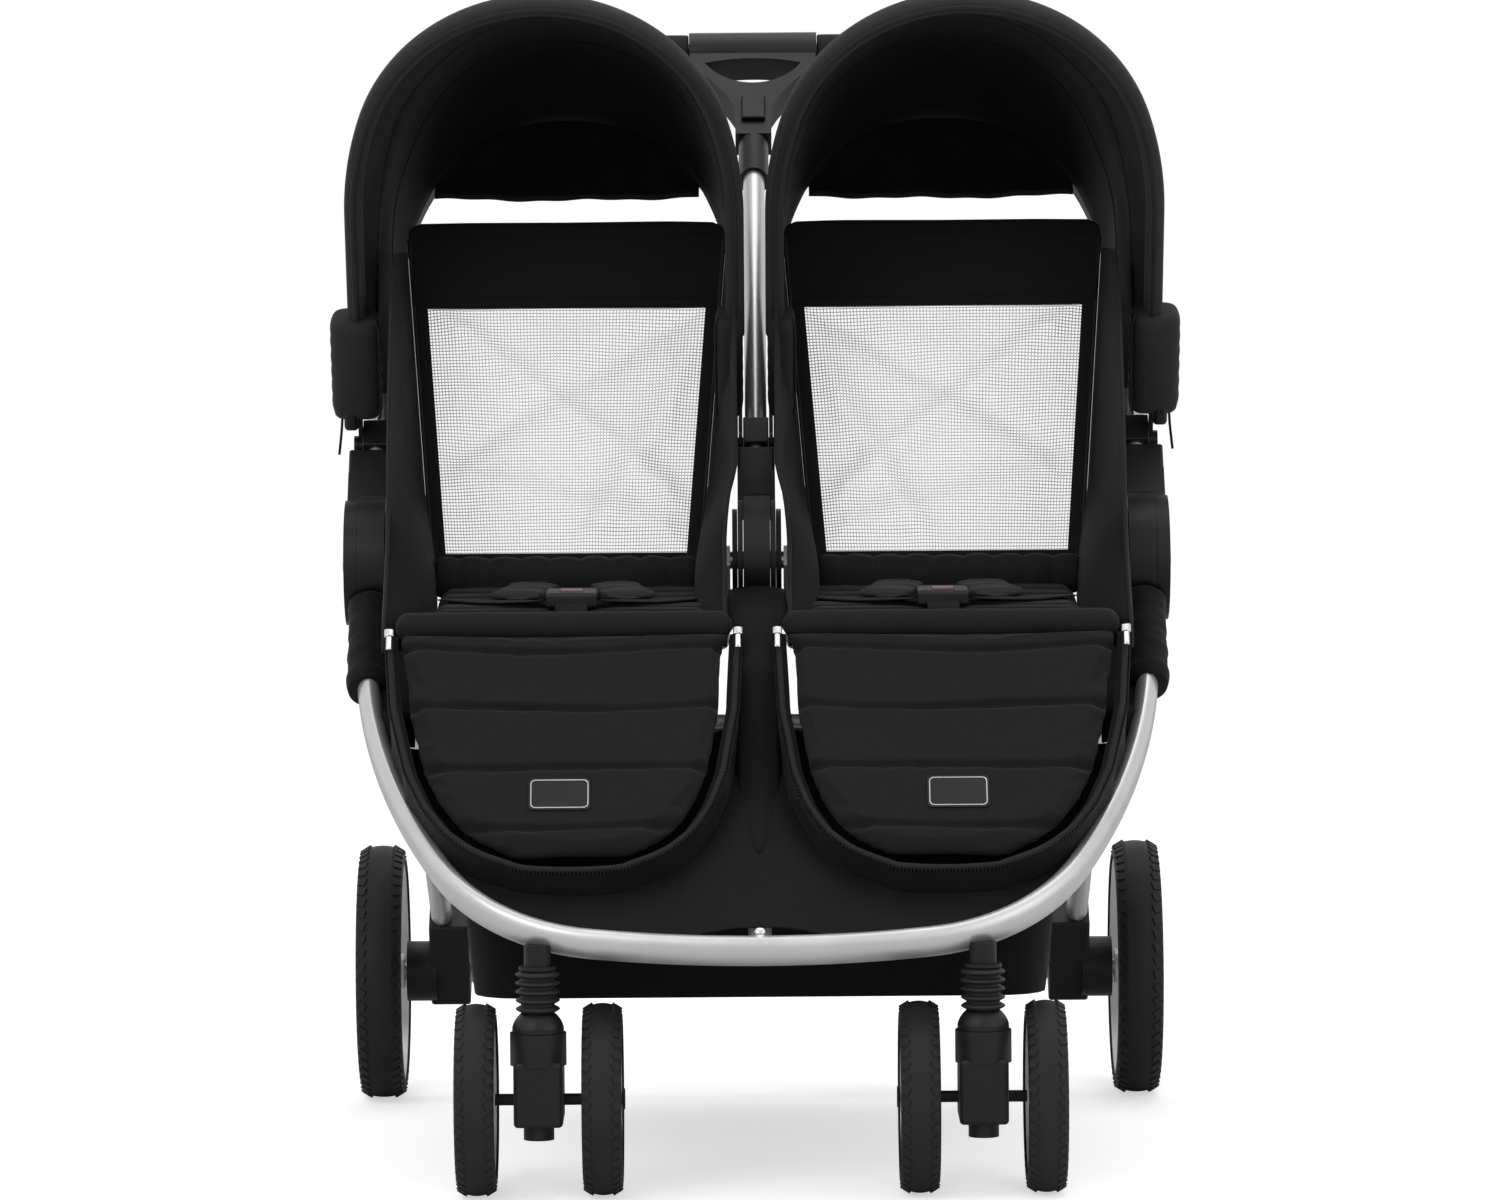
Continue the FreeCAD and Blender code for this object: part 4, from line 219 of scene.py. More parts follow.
def rampColour(tree, factor, dark, pale, low=0.3, high=0.7):
    ramp = tree.nodes.new("ShaderNodeValToRGB")
    ramp.color_ramp.elements[0].position = low
    ramp.color_ramp.elements[1].position = high
    ramp.color_ramp.elements[0].color = (*dark, 1)
    ramp.color_ramp.elements[1].color = (*pale, 1)
    tree.links.new(factor, ramp.inputs["Fac"])
    return ramp.outputs["Color"]


def spread(tree, factor, low, high):
    node = addNode(tree, "ShaderNodeMapRange",
                   {"Value": factor, "From Min": 0.3, "From Max": 0.7, "To Min": low, "To Max": high})
    return node.outputs["Result"]


def clothMaterial(name, dark, pale, threads=3600.0, rough=(0.72, 0.92), sheen=0.035, creases=9.0, creaseDepth=0.35,
                  gloss=0.14):
    material, tree, shader, place = newMaterial(name)
    weave = useGroup(tree, "weave", {"Vector": place, "Threads": threads})
    crease = useGroup(tree, "creases", {"Vector": place, "Scale": creases})
    tree.links.new(rampColour(tree, weave.outputs["Tone"], dark, pale), shader.inputs["Base Color"])
    tree.links.new(spread(tree, weave.outputs["Tone"], *rough), shader.inputs["Roughness"])
    shader.inputs["Sheen Weight"].default_value = sheen
    shader.inputs["Sheen Roughness"].default_value = 0.45
    shader.inputs["Specular IOR Level"].default_value = gloss
    folds = addNode(tree, "ShaderNodeBump", {"Height": crease.outputs["Height"], "Strength": creaseDepth,
                                             "Distance": 0.004})
    bump = addNode(tree, "ShaderNodeBump", {"Height": weave.outputs["Height"], "Strength": 0.35, "Distance": 0.0004,
                                            "Normal": folds.outputs["Normal"]})
    tree.links.new(bump.outputs["Normal"], shader.inputs["Normal"])
    return material


def mouldedMaterial(name, dark, pale, scale=900.0, rough=(0.34, 0.5), depth=0.12, metallic=0.0, coat=0.0, gloss=0.5):
    material, tree, shader, place = newMaterial(name)
    grain = useGroup(tree, "grain", {"Vector": place, "Scale": scale})
    tree.links.new(rampColour(tree, grain.outputs["Tone"], dark, pale), shader.inputs["Base Color"])
    tree.links.new(spread(tree, grain.outputs["Tone"], *rough), shader.inputs["Roughness"])
    shader.inputs["Metallic"].default_value = metallic
    shader.inputs["Coat Weight"].default_value = coat
    shader.inputs["Specular IOR Level"].default_value = gloss
    bump = addNode(tree, "ShaderNodeBump", {"Height": grain.outputs["Height"], "Strength": depth, "Distance": 0.0003})
    tree.links.new(bump.outputs["Normal"], shader.inputs["Normal"])
    return material


finishes = {
    "canopyCloth": clothMaterial("canopyCloth", (0.0045, 0.0045, 0.005), (0.0095, 0.0095, 0.010), creases=7.0),
    "seatCloth": clothMaterial("seatCloth", (0.0055, 0.0055, 0.006), (0.0125, 0.0125, 0.013), creases=16.0,
                               creaseDepth=0.5, sheen=0.05, gloss=0.18),
    "panelCloth": clothMaterial("panelCloth", (0.0048, 0.0048, 0.0052), (0.0095, 0.0095, 0.010), creases=6.0,
                                creaseDepth=0.3),
    "rimCloth": clothMaterial("rimCloth", (0.016, 0.016, 0.0165), (0.026, 0.026, 0.0265), threads=2600.0,
                              creases=20.0, creaseDepth=0.3, gloss=0.25),
    "webbing": clothMaterial("webbing", (0.007, 0.007, 0.0075), (0.016, 0.016, 0.017), threads=2200.0, creases=30.0,
                             creaseDepth=0.2),
    "piping": clothMaterial("piping", (0.010, 0.010, 0.0105), (0.020, 0.020, 0.021), threads=3000.0, rough=(0.5, 0.7),
                            creaseDepth=0.1),
    "netThread": mouldedMaterial("netThread", (0.80, 0.80, 0.80), (0.90, 0.90, 0.90), scale=2600.0, rough=(0.6, 0.8),
                                 depth=0.2),
    "tubePaint": mouldedMaterial("tubePaint", (0.55, 0.55, 0.55), (0.62, 0.62, 0.62), scale=2400.0,
                                 rough=(0.32, 0.44), depth=0.05, metallic=0.72),
    "plastic": mouldedMaterial("plastic", (0.006, 0.006, 0.0063), (0.011, 0.011, 0.0115), scale=1400.0,
                               rough=(0.36, 0.52), depth=0.16, gloss=0.26),
    "steel": mouldedMaterial("steel", (0.55, 0.55, 0.56), (0.68, 0.68, 0.69), scale=1800.0, rough=(0.22, 0.36),
                             depth=0.05, metallic=1.0),
    "foam": mouldedMaterial("foam", (0.010, 0.010, 0.010), (0.018, 0.018, 0.018), scale=1900.0, rough=(0.75, 0.92),
                            depth=0.5, gloss=0.22),
    "bellowsRubber": mouldedMaterial("bellowsRubber", (0.010, 0.010, 0.010), (0.019, 0.019, 0.019), scale=1200.0,
                                     rough=(0.42, 0.6), depth=0.1, gloss=0.28),
    "tyreRubber": mouldedMaterial("tyreRubber", (0.012, 0.012, 0.012), (0.022, 0.022, 0.022), scale=1500.0,
                                  rough=(0.55, 0.75), depth=0.25, gloss=0.22),
    "rimPaint": mouldedMaterial("rimPaint", (0.66, 0.66, 0.66), (0.74, 0.74, 0.74), scale=1600.0, rough=(0.30, 0.44),
                                depth=0.05, metallic=0.25),
    "redKey": mouldedMaterial("redKey", (0.075, 0.009, 0.008), (0.10, 0.012, 0.010), scale=1200.0, rough=(0.3, 0.42),
                              depth=0.1),
    "plateFace": mouldedMaterial("plateFace", (0.006, 0.006, 0.0065), (0.010, 0.010, 0.0105), scale=2000.0,
                                 rough=(0.24, 0.34), depth=0.08, gloss=0.3),
}
slotFinish = {
    "frame_silver": "tubePaint", "black_plastic": "plastic", "steel": "steel", "black_fabric": "panelCloth",
    "pad_fabric": "seatCloth",
    "grey_fabric": "rimCloth", "grip_foam": "foam", "rubber": "bellowsRubber", "tyre": "tyreRubber",
    "rim": "rimPaint",
    "red_plastic": "redKey", "badge": "plateFace",
}
for node in frame["nodes"].values():
    for slot in node.material_slots:
        slot.material = finishes[slotFinish[slot.material.name.split(".")[0]]]
print("stroller: finishes on the frame")


# Mesh helpers

def makePiece(name, verts, faces, finish):
    mesh = bpy.data.meshes.new(name)
    mesh.from_pydata([tuple(v) for v in verts], [], faces)
    mesh.update()
    piece = bpy.data.objects.new(name, mesh)
    bpy.context.scene.collection.objects.link(piece)
    mesh.materials.append(finishes[finish])
    return piece


def pathPiece(name, points, finish):
    piece = makePiece(name, [], [], finish)
    piece.data.from_pydata([tuple(p) for p in points], [(k, k + 1) for k in range(len(points) - 1)], [])
    return piece


def settleNormals(piece):
    work = bmesh.new()
    work.from_mesh(piece.data)
    bmesh.ops.remove_doubles(work, verts=work.verts, dist=1e-6)
    bmesh.ops.recalc_face_normals(work, faces=work.faces)
    work.to_mesh(piece.data)
    work.free()
    smoothAll(piece)
    return piece


def smoothAll(piece):
    piece.data.polygons.foreach_set("use_smooth", [True] * len(piece.data.polygons))
    piece.data.update()
    return piece


def gridPiece(name, grid, finish, closed=False, capped=False):
    rows, cols = len(grid), len(grid[0])
    faces = []
    for i in range(rows - 1):
        for j in range(cols if closed else cols - 1):
            after = (j + 1) % cols
            faces.append((i * cols + j, i * cols + after, (i + 1) * cols + after, (i + 1) * cols + j))
    if capped:
        faces.append(tuple(range(cols)))
        faces.append(tuple((rows - 1) * cols + j for j in reversed(range(cols))))
    return settleNormals(makePiece(name, [point for row in grid for point in row], faces, finish))


def bake(piece):
    graph = bpy.context.evaluated_depsgraph_get()
    mesh = bpy.data.meshes.new_from_object(piece.evaluated_get(graph), depsgraph=graph)
    piece.modifiers.clear()
    piece.data = mesh
    return smoothAll(piece)


def withModifier(piece, kind, **values):
    modifier = piece.modifiers.new(kind.lower(), kind)
    for key, value in values.items():
        setattr(modifier, key, value)
    return bake(piece)


def mirrorPiece(piece, name):
    copy = bpy.data.objects.new(name, piece.data.copy())
    copy.data.name = name
    bpy.context.scene.collection.objects.link(copy)
    copy.data.transform(Matrix.Scale(-1, 4, (1, 0, 0)))
    copy.data.flip_normals()
    return copy


def joined(name, parts):
    work = bmesh.new()
    for part in parts:
        work.from_mesh(part.data)
    mesh = bpy.data.meshes.new(name)
    work.to_mesh(mesh)
    work.free()
    mesh.materials.append(parts[0].data.materials[0])
    for part in parts:
        bpy.data.objects.remove(part)
    piece = bpy.data.objects.new(name, mesh)
    bpy.context.scene.collection.objects.link(piece)
    return smoothAll(piece)


def onBody(piece, body, nodes=()):
    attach(piece, body)
    if nodes:
        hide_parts(*nodes)
    return piece


def evenPath(dense, count):
    lengths = [0.0]
    for index in range(1, len(dense)):
        lengths.append(lengths[-1] + (dense[index] - dense[index - 1]).length)
    out = []
    at = 0
    for step in range(count):
        target = lengths[-1] * step / (count - 1)
        while at < len(lengths) - 2 and lengths[at + 1] < target:
            at += 1
        span = lengths[at + 1] - lengths[at]
        out.append(dense[at].lerp(dense[at + 1], (target - lengths[at]) / span if span > 1e-12 else 0))
    return out


def smoothPath(points, count):
    points = [Vector(p) for p in points]
    last = len(points) - 1
    dense = []
    for index in range(last):
        a, b, c, d = points[max(index - 1, 0)], points[index], points[index + 1], points[min(index + 2, last)]
        for step in range(12):
            t = step / 12
            dense.append(0.5 * (2 * b + (c - a) * t + (2 * a - 5 * b + 4 * c - d) * t * t
                                + (3 * b - 3 * c + d - a) * t ** 3))
    dense.append(points[-1])
    return evenPath(dense, count)


def sweepPiece(name, path, section, finish, side=(1, 0, 0)):
    count = len(path)
    grid = []
    for index, point in enumerate(path):
        along = (path[min(index + 1, count - 1)] - path[max(index - 1, 0)]).normalized()
        across = Vector(side(index) if callable(side) else side)
        across = (across - along * across.dot(along)).normalized()
        deep = along.cross(across)
        shape = section(index / (count - 1)) if callable(section) else section
        grid.append([point + across * a + deep * b for a, b in shape])
    return gridPiece(name, grid, finish, closed=True, capped=True)


def ovalSection(wide, deep, count=12, power=2.0):
    shape = []
    for index in range(count):
        c, s = math.cos(2 * math.pi * index / count), math.sin(2 * math.pi * index / count)
        shape.append((wide * math.copysign(abs(c) ** (2 / power), c), deep * math.copysign(abs(s) ** (2 / power), s)))
    return shape


# Geometry Nodes trees for what repeats

def nodeTree(name, inputs):
    tree = bpy.data.node_groups.new(name, "GeometryNodeTree")
    tree.interface.new_socket("Geometry", in_out="INPUT", socket_type="NodeSocketGeometry")
    for label, kind, value in inputs:
        socket = tree.interface.new_socket(label, in_out="INPUT", socket_type=kind)
        if value is not None:
            socket.default_value = value
    tree.interface.new_socket("Geometry", in_out="OUTPUT", socket_type="NodeSocketGeometry")
    return tree, tree.nodes.new("NodeGroupInput"), tree.nodes.new("NodeGroupOutput")


def applyTree(piece, tree, values):
    modifier = piece.modifiers.new("nodes", "NODES")
    modifier.node_group = tree
    for socket in tree.interface.items_tree:
        if socket.in_out == "INPUT" and socket.name in values:
            modifier[socket.identifier] = values[socket.name]
    bake(piece)
    piece.data.materials.clear()
    piece.data.materials.append(values["Finish"])
    return piece


def ringTree():
    tree, start, end = nodeTree("blockRing", [
        ("Count", "NodeSocketInt", 24), ("Radius", "NodeSocketFloat", 0.08),
        ("Size", "NodeSocketVector", (0.004, 0.004, 0.002)),
        ("Offset", "NodeSocketFloat", 0.0), ("Slant", "NodeSocketFloat", 0.0), ("Tilt", "NodeSocketFloat", 0.0),
        ("Finish", "NodeSocketMaterial", None)])
    circle = addNode(tree, "GeometryNodeMeshCircle",
                     {"Vertices": start.outputs["Count"], "Radius": start.outputs["Radius"]})
    block = addNode(tree, "GeometryNodeMeshCube", {"Size": start.outputs["Size"]})
    place = tree.nodes.new("GeometryNodeInputPosition")
    split = addNode(tree, "ShaderNodeSeparateXYZ", {0: place.outputs[0]})
    turn = mathNode(tree, "ARCTAN2", split.outputs[1], split.outputs[0])
    spin = addNode(tree, "ShaderNodeCombineXYZ", {0: 0.0, 1: 0.0, 2: turn})
    lean = addNode(tree, "ShaderNodeCombineXYZ", {0: start.outputs["Slant"], 1: start.outputs["Tilt"], 2: 0.0})
    base = addNode(tree, "FunctionNodeEulerToRotation", {0: spin.outputs[0]})
    tilt = addNode(tree, "FunctionNodeEulerToRotation", {0: lean.outputs[0]})
    rotation = addNode(tree, "FunctionNodeRotateRotation", {0: base.outputs[0], 1: tilt.outputs[0]},
                       rotation_space="LOCAL")
    lift = addNode(tree, "ShaderNodeCombineXYZ", {0: 0.0, 1: 0.0, 2: start.outputs["Offset"]})
    moved = addNode(tree, "GeometryNodeSetPosition", {"Geometry": circle.outputs[0], "Offset": lift.outputs[0]})
    copies = addNode(tree, "GeometryNodeInstanceOnPoints", {"Points": moved.outputs[0], "Instance": block.outputs[0],
                                                            "Rotation": rotation.outputs[0]})
    real = addNode(tree, "GeometryNodeRealizeInstances", {0: copies.outputs[0]})
    painted = addNode(tree, "GeometryNodeSetMaterial",
                      {"Geometry": real.outputs[0], "Material": start.outputs["Finish"]})
    tree.links.new(painted.outputs[0], end.inputs[0])
    return tree


def rowTree():
    tree, start, end = nodeTree("teethAlongPath", [
        ("Pitch", "NodeSocketFloat", 0.004), ("Size", "NodeSocketVector", (0.002, 0.005, 0.001)),
        ("Finish", "NodeSocketMaterial", None)])
    curve = addNode(tree, "GeometryNodeMeshToCurve", {0: start.outputs["Geometry"]})
    points = addNode(tree, "GeometryNodeCurveToPoints", {"Curve": curve.outputs[0], "Length": start.outputs["Pitch"]},
                     mode="LENGTH")
    block = addNode(tree, "GeometryNodeMeshCube", {"Size": start.outputs["Size"]})
    copies = addNode(tree, "GeometryNodeInstanceOnPoints",
                     {"Points": points.outputs["Points"], "Instance": block.outputs[0],
                                                            "Rotation": points.outputs["Rotation"]})
    real = addNode(tree, "GeometryNodeRealizeInstances", {0: copies.outputs[0]})
    painted = addNode(tree, "GeometryNodeSetMaterial",
                      {"Geometry": real.outputs[0], "Material": start.outputs["Finish"]})
    tree.links.new(painted.outputs[0], end.inputs[0])
    return tree


def meshTree():
    tree, start, end = nodeTree("openMesh", [("Hole Share", "NodeSocketFloat", 0.7),
                                             ("Finish", "NodeSocketMaterial", None)])
    raised = addNode(tree, "GeometryNodeExtrudeMesh",
                     {"Mesh": start.outputs["Geometry"], "Offset Scale": 0.0, "Individual": True})
    shrunk = addNode(tree, "GeometryNodeScaleElements",
                     {"Geometry": raised.outputs["Mesh"], "Selection": raised.outputs["Top"],
                                                         "Scale": start.outputs["Hole Share"]})
    opened = addNode(tree, "GeometryNodeDeleteGeometry",
                     {"Geometry": shrunk.outputs[0], "Selection": raised.outputs["Top"]}, domain="FACE")
    merged = addNode(tree, "GeometryNodeMergeByDistance", {"Geometry": opened.outputs[0], "Distance": 0.00001})
    real = addNode(tree, "GeometryNodeRealizeInstances", {0: merged.outputs[0]})
    painted = addNode(tree, "GeometryNodeSetMaterial",
                      {"Geometry": real.outputs[0], "Material": start.outputs["Finish"]})
    tree.links.new(painted.outputs[0], end.inputs[0])
    return tree


trees = {"ring": ringTree(), "row": rowTree(), "mesh": meshTree()}
sides = (("right", 1), ("left", -1))


# Canopies: bows at the CAD's angles, cloth stretched between them

canopy = {
    "pushAngle": 46.16,
    "frontBow": {"angle": 67.7, "reach": 0.435, "outer": 0.3593, "inner": 0.018},
    "hoodFront": {"angle": 66.6, "reach": 0.4324, "outer": 0.3565},
    "hoodRear": {"angle": 8.6, "reach": 0.3575, "outer": 0.3275},
    "hoodInner": 0.0202,
    "archHeight": 0.205,
    "sideRadius": 0.300,
    "hem": 0.048,
    "sag": 0.0055,
    "thickness": 0.0016,
    "flapFoot": 0.838,
    "rimStart": 0.112,
    "rimWide": 0.0085,
    "rimDeep": 0.0130,
    "weltShift": 0.0135,
    "welt": (0.0022, 0.0028),
    "flapHem": (0.003, 0.0017),
    "hemShift": (0, -0.0005, 0.001),
    "seamPlaces": (0.36, 0.72),
    "seam": (0.0035, 0.0016),
}


def bowCurve(reach, half, start, count):
    height, side = canopy["archHeight"], canopy["sideRadius"]
    inset = half - side
    crown = (inset ** 2 + height ** 2 - side ** 2) / (2 * (height - side))
    shoulder = reach - height
    middle = Vector((0, reach - crown))
    sideCentre = Vector((inset, shoulder))
    toJoin = (middle - sideCentre).normalized()
    joinTurn = math.atan2(toJoin.y, toJoin.x)
    dense = [Vector((half, start)), Vector((half, mix(start, shoulder, 0.5)))]
    for step in range(33):
        turn = joinTurn * step / 32
        dense.append(sideCentre + Vector((math.cos(turn), math.sin(turn))) * side)
    first = math.atan2(dense[-1].y - middle.y, dense[-1].x - middle.x)
    for step in range(1, 33):
        turn = mix(first, math.pi / 2, step / 32)
        dense.append(middle + Vector((math.cos(turn), math.sin(turn))) * crown)
    dense += [Vector((-p.x, p.y)) for p in reversed(dense[:-1])]
    return evenPath([Vector((p.x, p.y, 0)) for p in dense], count)


def onBow(angle, middle, flat):
    turn = math.radians(canopy["pushAngle"] + angle)
    return Vector((middle + flat.x, canopyPivot.y + flat.y * math.cos(turn), canopyPivot.z + flat.y * math.sin(turn)))


def hoodGrid(rows=30, cols=92, inset=0.0):
    front, rear = canopy["hoodFront"], canopy["hoodRear"]
    level = front["reach"] * math.sin(math.radians(canopy["pushAngle"] + front["angle"]))
    grid = []
    for i in range(rows):
        share = i / (rows - 1)
        angle = mix(front["angle"], rear["angle"], share)
        flat = level / math.sin(math.radians(canopy["pushAngle"] + angle))
        reach = flat + (rear["reach"] - flat) * share ** 2
        outer = mix(front["outer"], rear["outer"], share)
        middle, half = (outer + canopy["hoodInner"]) / 2, (outer - canopy["hoodInner"]) / 2
        pull = canopy["sag"] * math.sin(math.pi * share) + inset
        row = []
        for j, point in enumerate(bowCurve(reach - pull, half - pull * 0.7, canopy["hem"], cols)):
            place = onBow(angle, middle, point)
            ripple = noise.noise(Vector((share * 5.0, j * 0.11, 3.1))) * 0.0028 * math.sin(math.pi * share)
            place.x += ripple * (1 if point.x > 0 else -1)
            place.z += ripple
            row.append(place)
        grid.append(row)
    return grid


def flapGrid(rows=10, cols=44):
    rear = canopy["hoodRear"]
    angle = rear["angle"] + 0.4
    turn = math.radians(canopy["pushAngle"] + angle)
    foot = (canopy["flapFoot"] - canopyPivot.z) / math.sin(turn)
    middle, half = (rear["outer"] + canopy["hoodInner"]) / 2, (rear["outer"] - canopy["hoodInner"]) / 2
    arch = [p for p in bowCurve(rear["reach"] - 0.002, half - 0.002, canopy["hem"], 400)]
    wide = max(p.x for p in arch if p.y > foot)
    grid = []
    for i in range(rows):
        row = []
        for j in range(cols):
            x = mix(wide - 0.004, -wide + 0.004, j / (cols - 1))
            top = max(p.y for p in arch if abs(p.x - x) < 0.006)
            low = foot + 0.0010 * math.sin(j * 0.31) + 0.0006 * math.sin(j * 0.83) + 0.003 * (abs(x) / wide) ** 2
            place = onBow(angle, middle, Vector((x, mix(max(low, foot - 0.004), top, i / (rows - 1)), 0)))
            bulge = math.sin(math.pi * i / (rows - 1)) * (0.003 + 0.002 * math.sin(j * 0.8))
            row.append(place + Vector((0, bulge * 0.8, bulge * -0.2)))
        grid.append(row)
    return grid


def buildCanopies():
    front = canopy["frontBow"]
    middle, half = (front["outer"] + front["inner"]) / 2, (front["outer"] - front["inner"]) / 2
    normal = rayPoint(canopy["pushAngle"] + front["angle"] + 90, 1, (0, 0, 0))
    grid = hoodGrid()
    flap = flapGrid()
    arc = bowCurve(front["reach"], half, canopy["rimStart"], 130)
    path = [onBow(front["angle"], middle, p) for p in arc]
    for label, sign in sides:
        hood = withModifier(gridPiece("hood_" + label, grid, "canopyCloth"), "SOLIDIFY",
                            thickness=canopy["thickness"], offset=0.0)
        sleeve = sweepPiece("bow_sleeve_" + label, path, ovalSection(canopy["rimDeep"], canopy["rimWide"], 16, 2.6),
                            "rimCloth", side=normal)
        seams = []
        for shift in (canopy["weltShift"], -canopy["weltShift"]):
            seams.append(sweepPiece("seam", [p + normal * shift for p in path], ovalSection(*canopy["welt"], 8),
                                    "piping", side=normal))
        welt = joined("bow_welts_" + label, seams)
        back = withModifier(gridPiece("hood_flap_" + label, flap, "canopyCloth"), "SOLIDIFY",
                            thickness=canopy["thickness"], offset=0.0)
        hemPath = [p + Vector(canopy["hemShift"]) for p in flap[0]]
        hem = sweepPiece("flap_hem_" + label, hemPath, ovalSection(*canopy["flapHem"], 8), "piping", side=(0, 0, 1))
        ribs = []
        for share in canopy["seamPlaces"]:
            row = [p.copy() for p in grid[int(share * (len(grid) - 1))]]
            ribs.append(sweepPiece("rib", row, ovalSection(*canopy["seam"], 8), "canopyCloth", side=(0, 1, 0)))
        rib = joined("hood_seams_" + label, ribs)
        if sign < 0:
            pieces = []
            for piece, name in ((hood, "hood_left"), (sleeve, "bow_sleeve_left"), (welt, "bow_welts_left"),
                                (back, "hood_flap_left"),
                                (hem, "flap_hem_left"), (rib, "hood_seams_left")):
                piece.name = "spare"
                pieces.append(mirrorPiece(piece, name))
                bpy.data.objects.remove(piece)
            hood, sleeve, welt, back, hem, rib = pieces
        for piece in (hood, rib):
            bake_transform(piece)
        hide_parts("canopy_fabric_" + label)
        onBody(sleeve, "canopy_front_" + label)
        onBody(welt, "canopy_front_" + label)
        onBody(back, "canopy_rear_" + label)
        onBody(hem, "canopy_rear_" + label)


buildCanopies()
print("stroller: canopies")


# Padded covers round the ends of the front bows

bowCover = {
    "start": 0.033, "end": 0.133, "depth": 0.021, "outer": (0.3380, 0.3845), "inner": (0.0108, 0.0365),
    "taper": 0.16, "slim": 0.20, "flat": 0.28, "crease": 0.035, "seam": 0.0012, "seamOut": 0.96, "seamLift": 0.72,
    "tab": (0.0012, 0.0042), "tabPath": ((0.3755, 0.036), (0.3765, 0.018), (0.3790, -0.004)),
    "tabDrop": (0, -0.010, -0.004),
}


def buildCovers():
    angle = canopy["frontBow"]["angle"]
    normal = rayPoint(canopy["pushAngle"] + angle + 90, 1, (0, 0, 0))
    for label, sign in sides:
        for where in ("outer", "inner"):
            low, high = bowCover[where]
            middle, half = (low + high) / 2, (high - low) / 2
            path = [onBow(angle, sign * middle, Vector((0, mix(bowCover["start"], bowCover["end"], k / 27),
                                                        0))) for k in range(28)]

            def section(share, half=half, sign=sign):
                end = min(share, 1 - share) / bowCover["taper"]
                shrink = math.sqrt(max(0.06, 1 - (1 - min(1, end)) ** 2))
                crease = 1 - bowCover["crease"] * (math.sin(share * 21) ** 4)
                wide = half * (1 - bowCover["slim"] * (1 - shrink)) * crease
                return ovalSection(wide, bowCover["depth"] * (1 - bowCover["flat"] * (1 - shrink)), 24, 3.2)

            cover = sweepPiece("bow_cover_%s_%s" % (where, label), path, section, "rimCloth", side=(1, 0, 0))
            withModifier(cover, "SUBSURF", levels=1, render_levels=1)
            onBody(cover, "canopy_front_" + label)
            edge = []
            hand = -sign if where == "outer" else sign
            for k in range(28):
                wide, deep = section(k / 27)[0][0], section(k / 27)[6][1]
                shift = Vector((hand * wide * bowCover["seamOut"], 0, 0))
                edge.append(path[k] + shift + normal * deep * bowCover["seamLift"])
            seam = sweepPiece("cover_seam_%s_%s" % (where, label), edge,
                              ovalSection(bowCover["seam"], bowCover["seam"], 6), "piping", side=(1, 0, 0))
            onBody(seam, "canopy_front_" + label)
        tail = [onBow(angle, sign * x, Vector((0, along, 0))) for x, along in bowCover["tabPath"]]
        tail[-1] += Vector(bowCover["tabDrop"])
        tail = smoothPath(tail, 14)
        strap = sweepPiece("pull_tab_" + label, tail, ovalSection(*bowCover["tab"], 8, 4.0), "webbing",
                           side=(1, 0, 0))
        onBody(strap, "canopy_front_" + label)


buildCovers()
print("stroller: bow covers")


# Pads: a base form is stuffed by cloth simulation, then sewn into channels

padShapes = {
    "seat": {"x": 0.163, "y": 0.011, "z": 0.4733, "slope": 3.48, "width": 0.262, "length": 0.204, "thickness": 0.024,
             "widths": ((0.0, 0.262), (1.0, 0.262)), "seams": (0.034, 0.068, 0.102, 0.136, 0.170), "sag": 0.0,
             "lean": 0.0, "cap": 0.006, "groove": 0.0055},
    "calf": {"x": 0.169, "y": -0.197, "z": 0.4674, "slope": 51.2, "width": 0.300, "length": 0.248, "thickness": 0.020,
             "widths": ((0.0, 0.300), (0.36, 0.290), (0.62, 0.266), (0.76, 0.240), (0.86, 0.208), (0.93, 0.170),
                        (0.98, 0.126), (1.0, 0.098)),
             "seams": (0.030, 0.090, 0.152, 0.212), "sag": 0.006, "lean": 0.008, "cap": 0.007, "groove": 0.0066},
}


padMake = {"inset": 0.0035, "rows": 44, "voxel": 0.0048, "pressure": 4.0, "frames": 20, "grooveWidth": 0.0044,
           "pucker": 0.0013, "puckerWidth": 0.014, "soft": 0.0018, "ceiling": 0.0006}


def padFrame(pad):
    turn = math.radians(pad["slope"])
    return (Vector((pad["x"], pad["y"], pad["z"])), Vector((0, -math.cos(turn), -math.sin(turn))),
            Vector((0, -math.sin(turn), math.cos(turn))))


def padHalf(pad, share):
    marks = pad["widths"]
    for (low, first), (high, second) in zip(marks, marks[1:]):
        if share <= high:
            return mix(first, second, (share - low) / (high - low)) / 2
    return marks[-1][1] / 2


def padPoint(pad, x, high, along):
    origin, down, up = padFrame(pad)
    return origin + Vector((x - pad["lean"] * (along / pad["length"]) ** 2, 0, 0)) + up * high + down * along


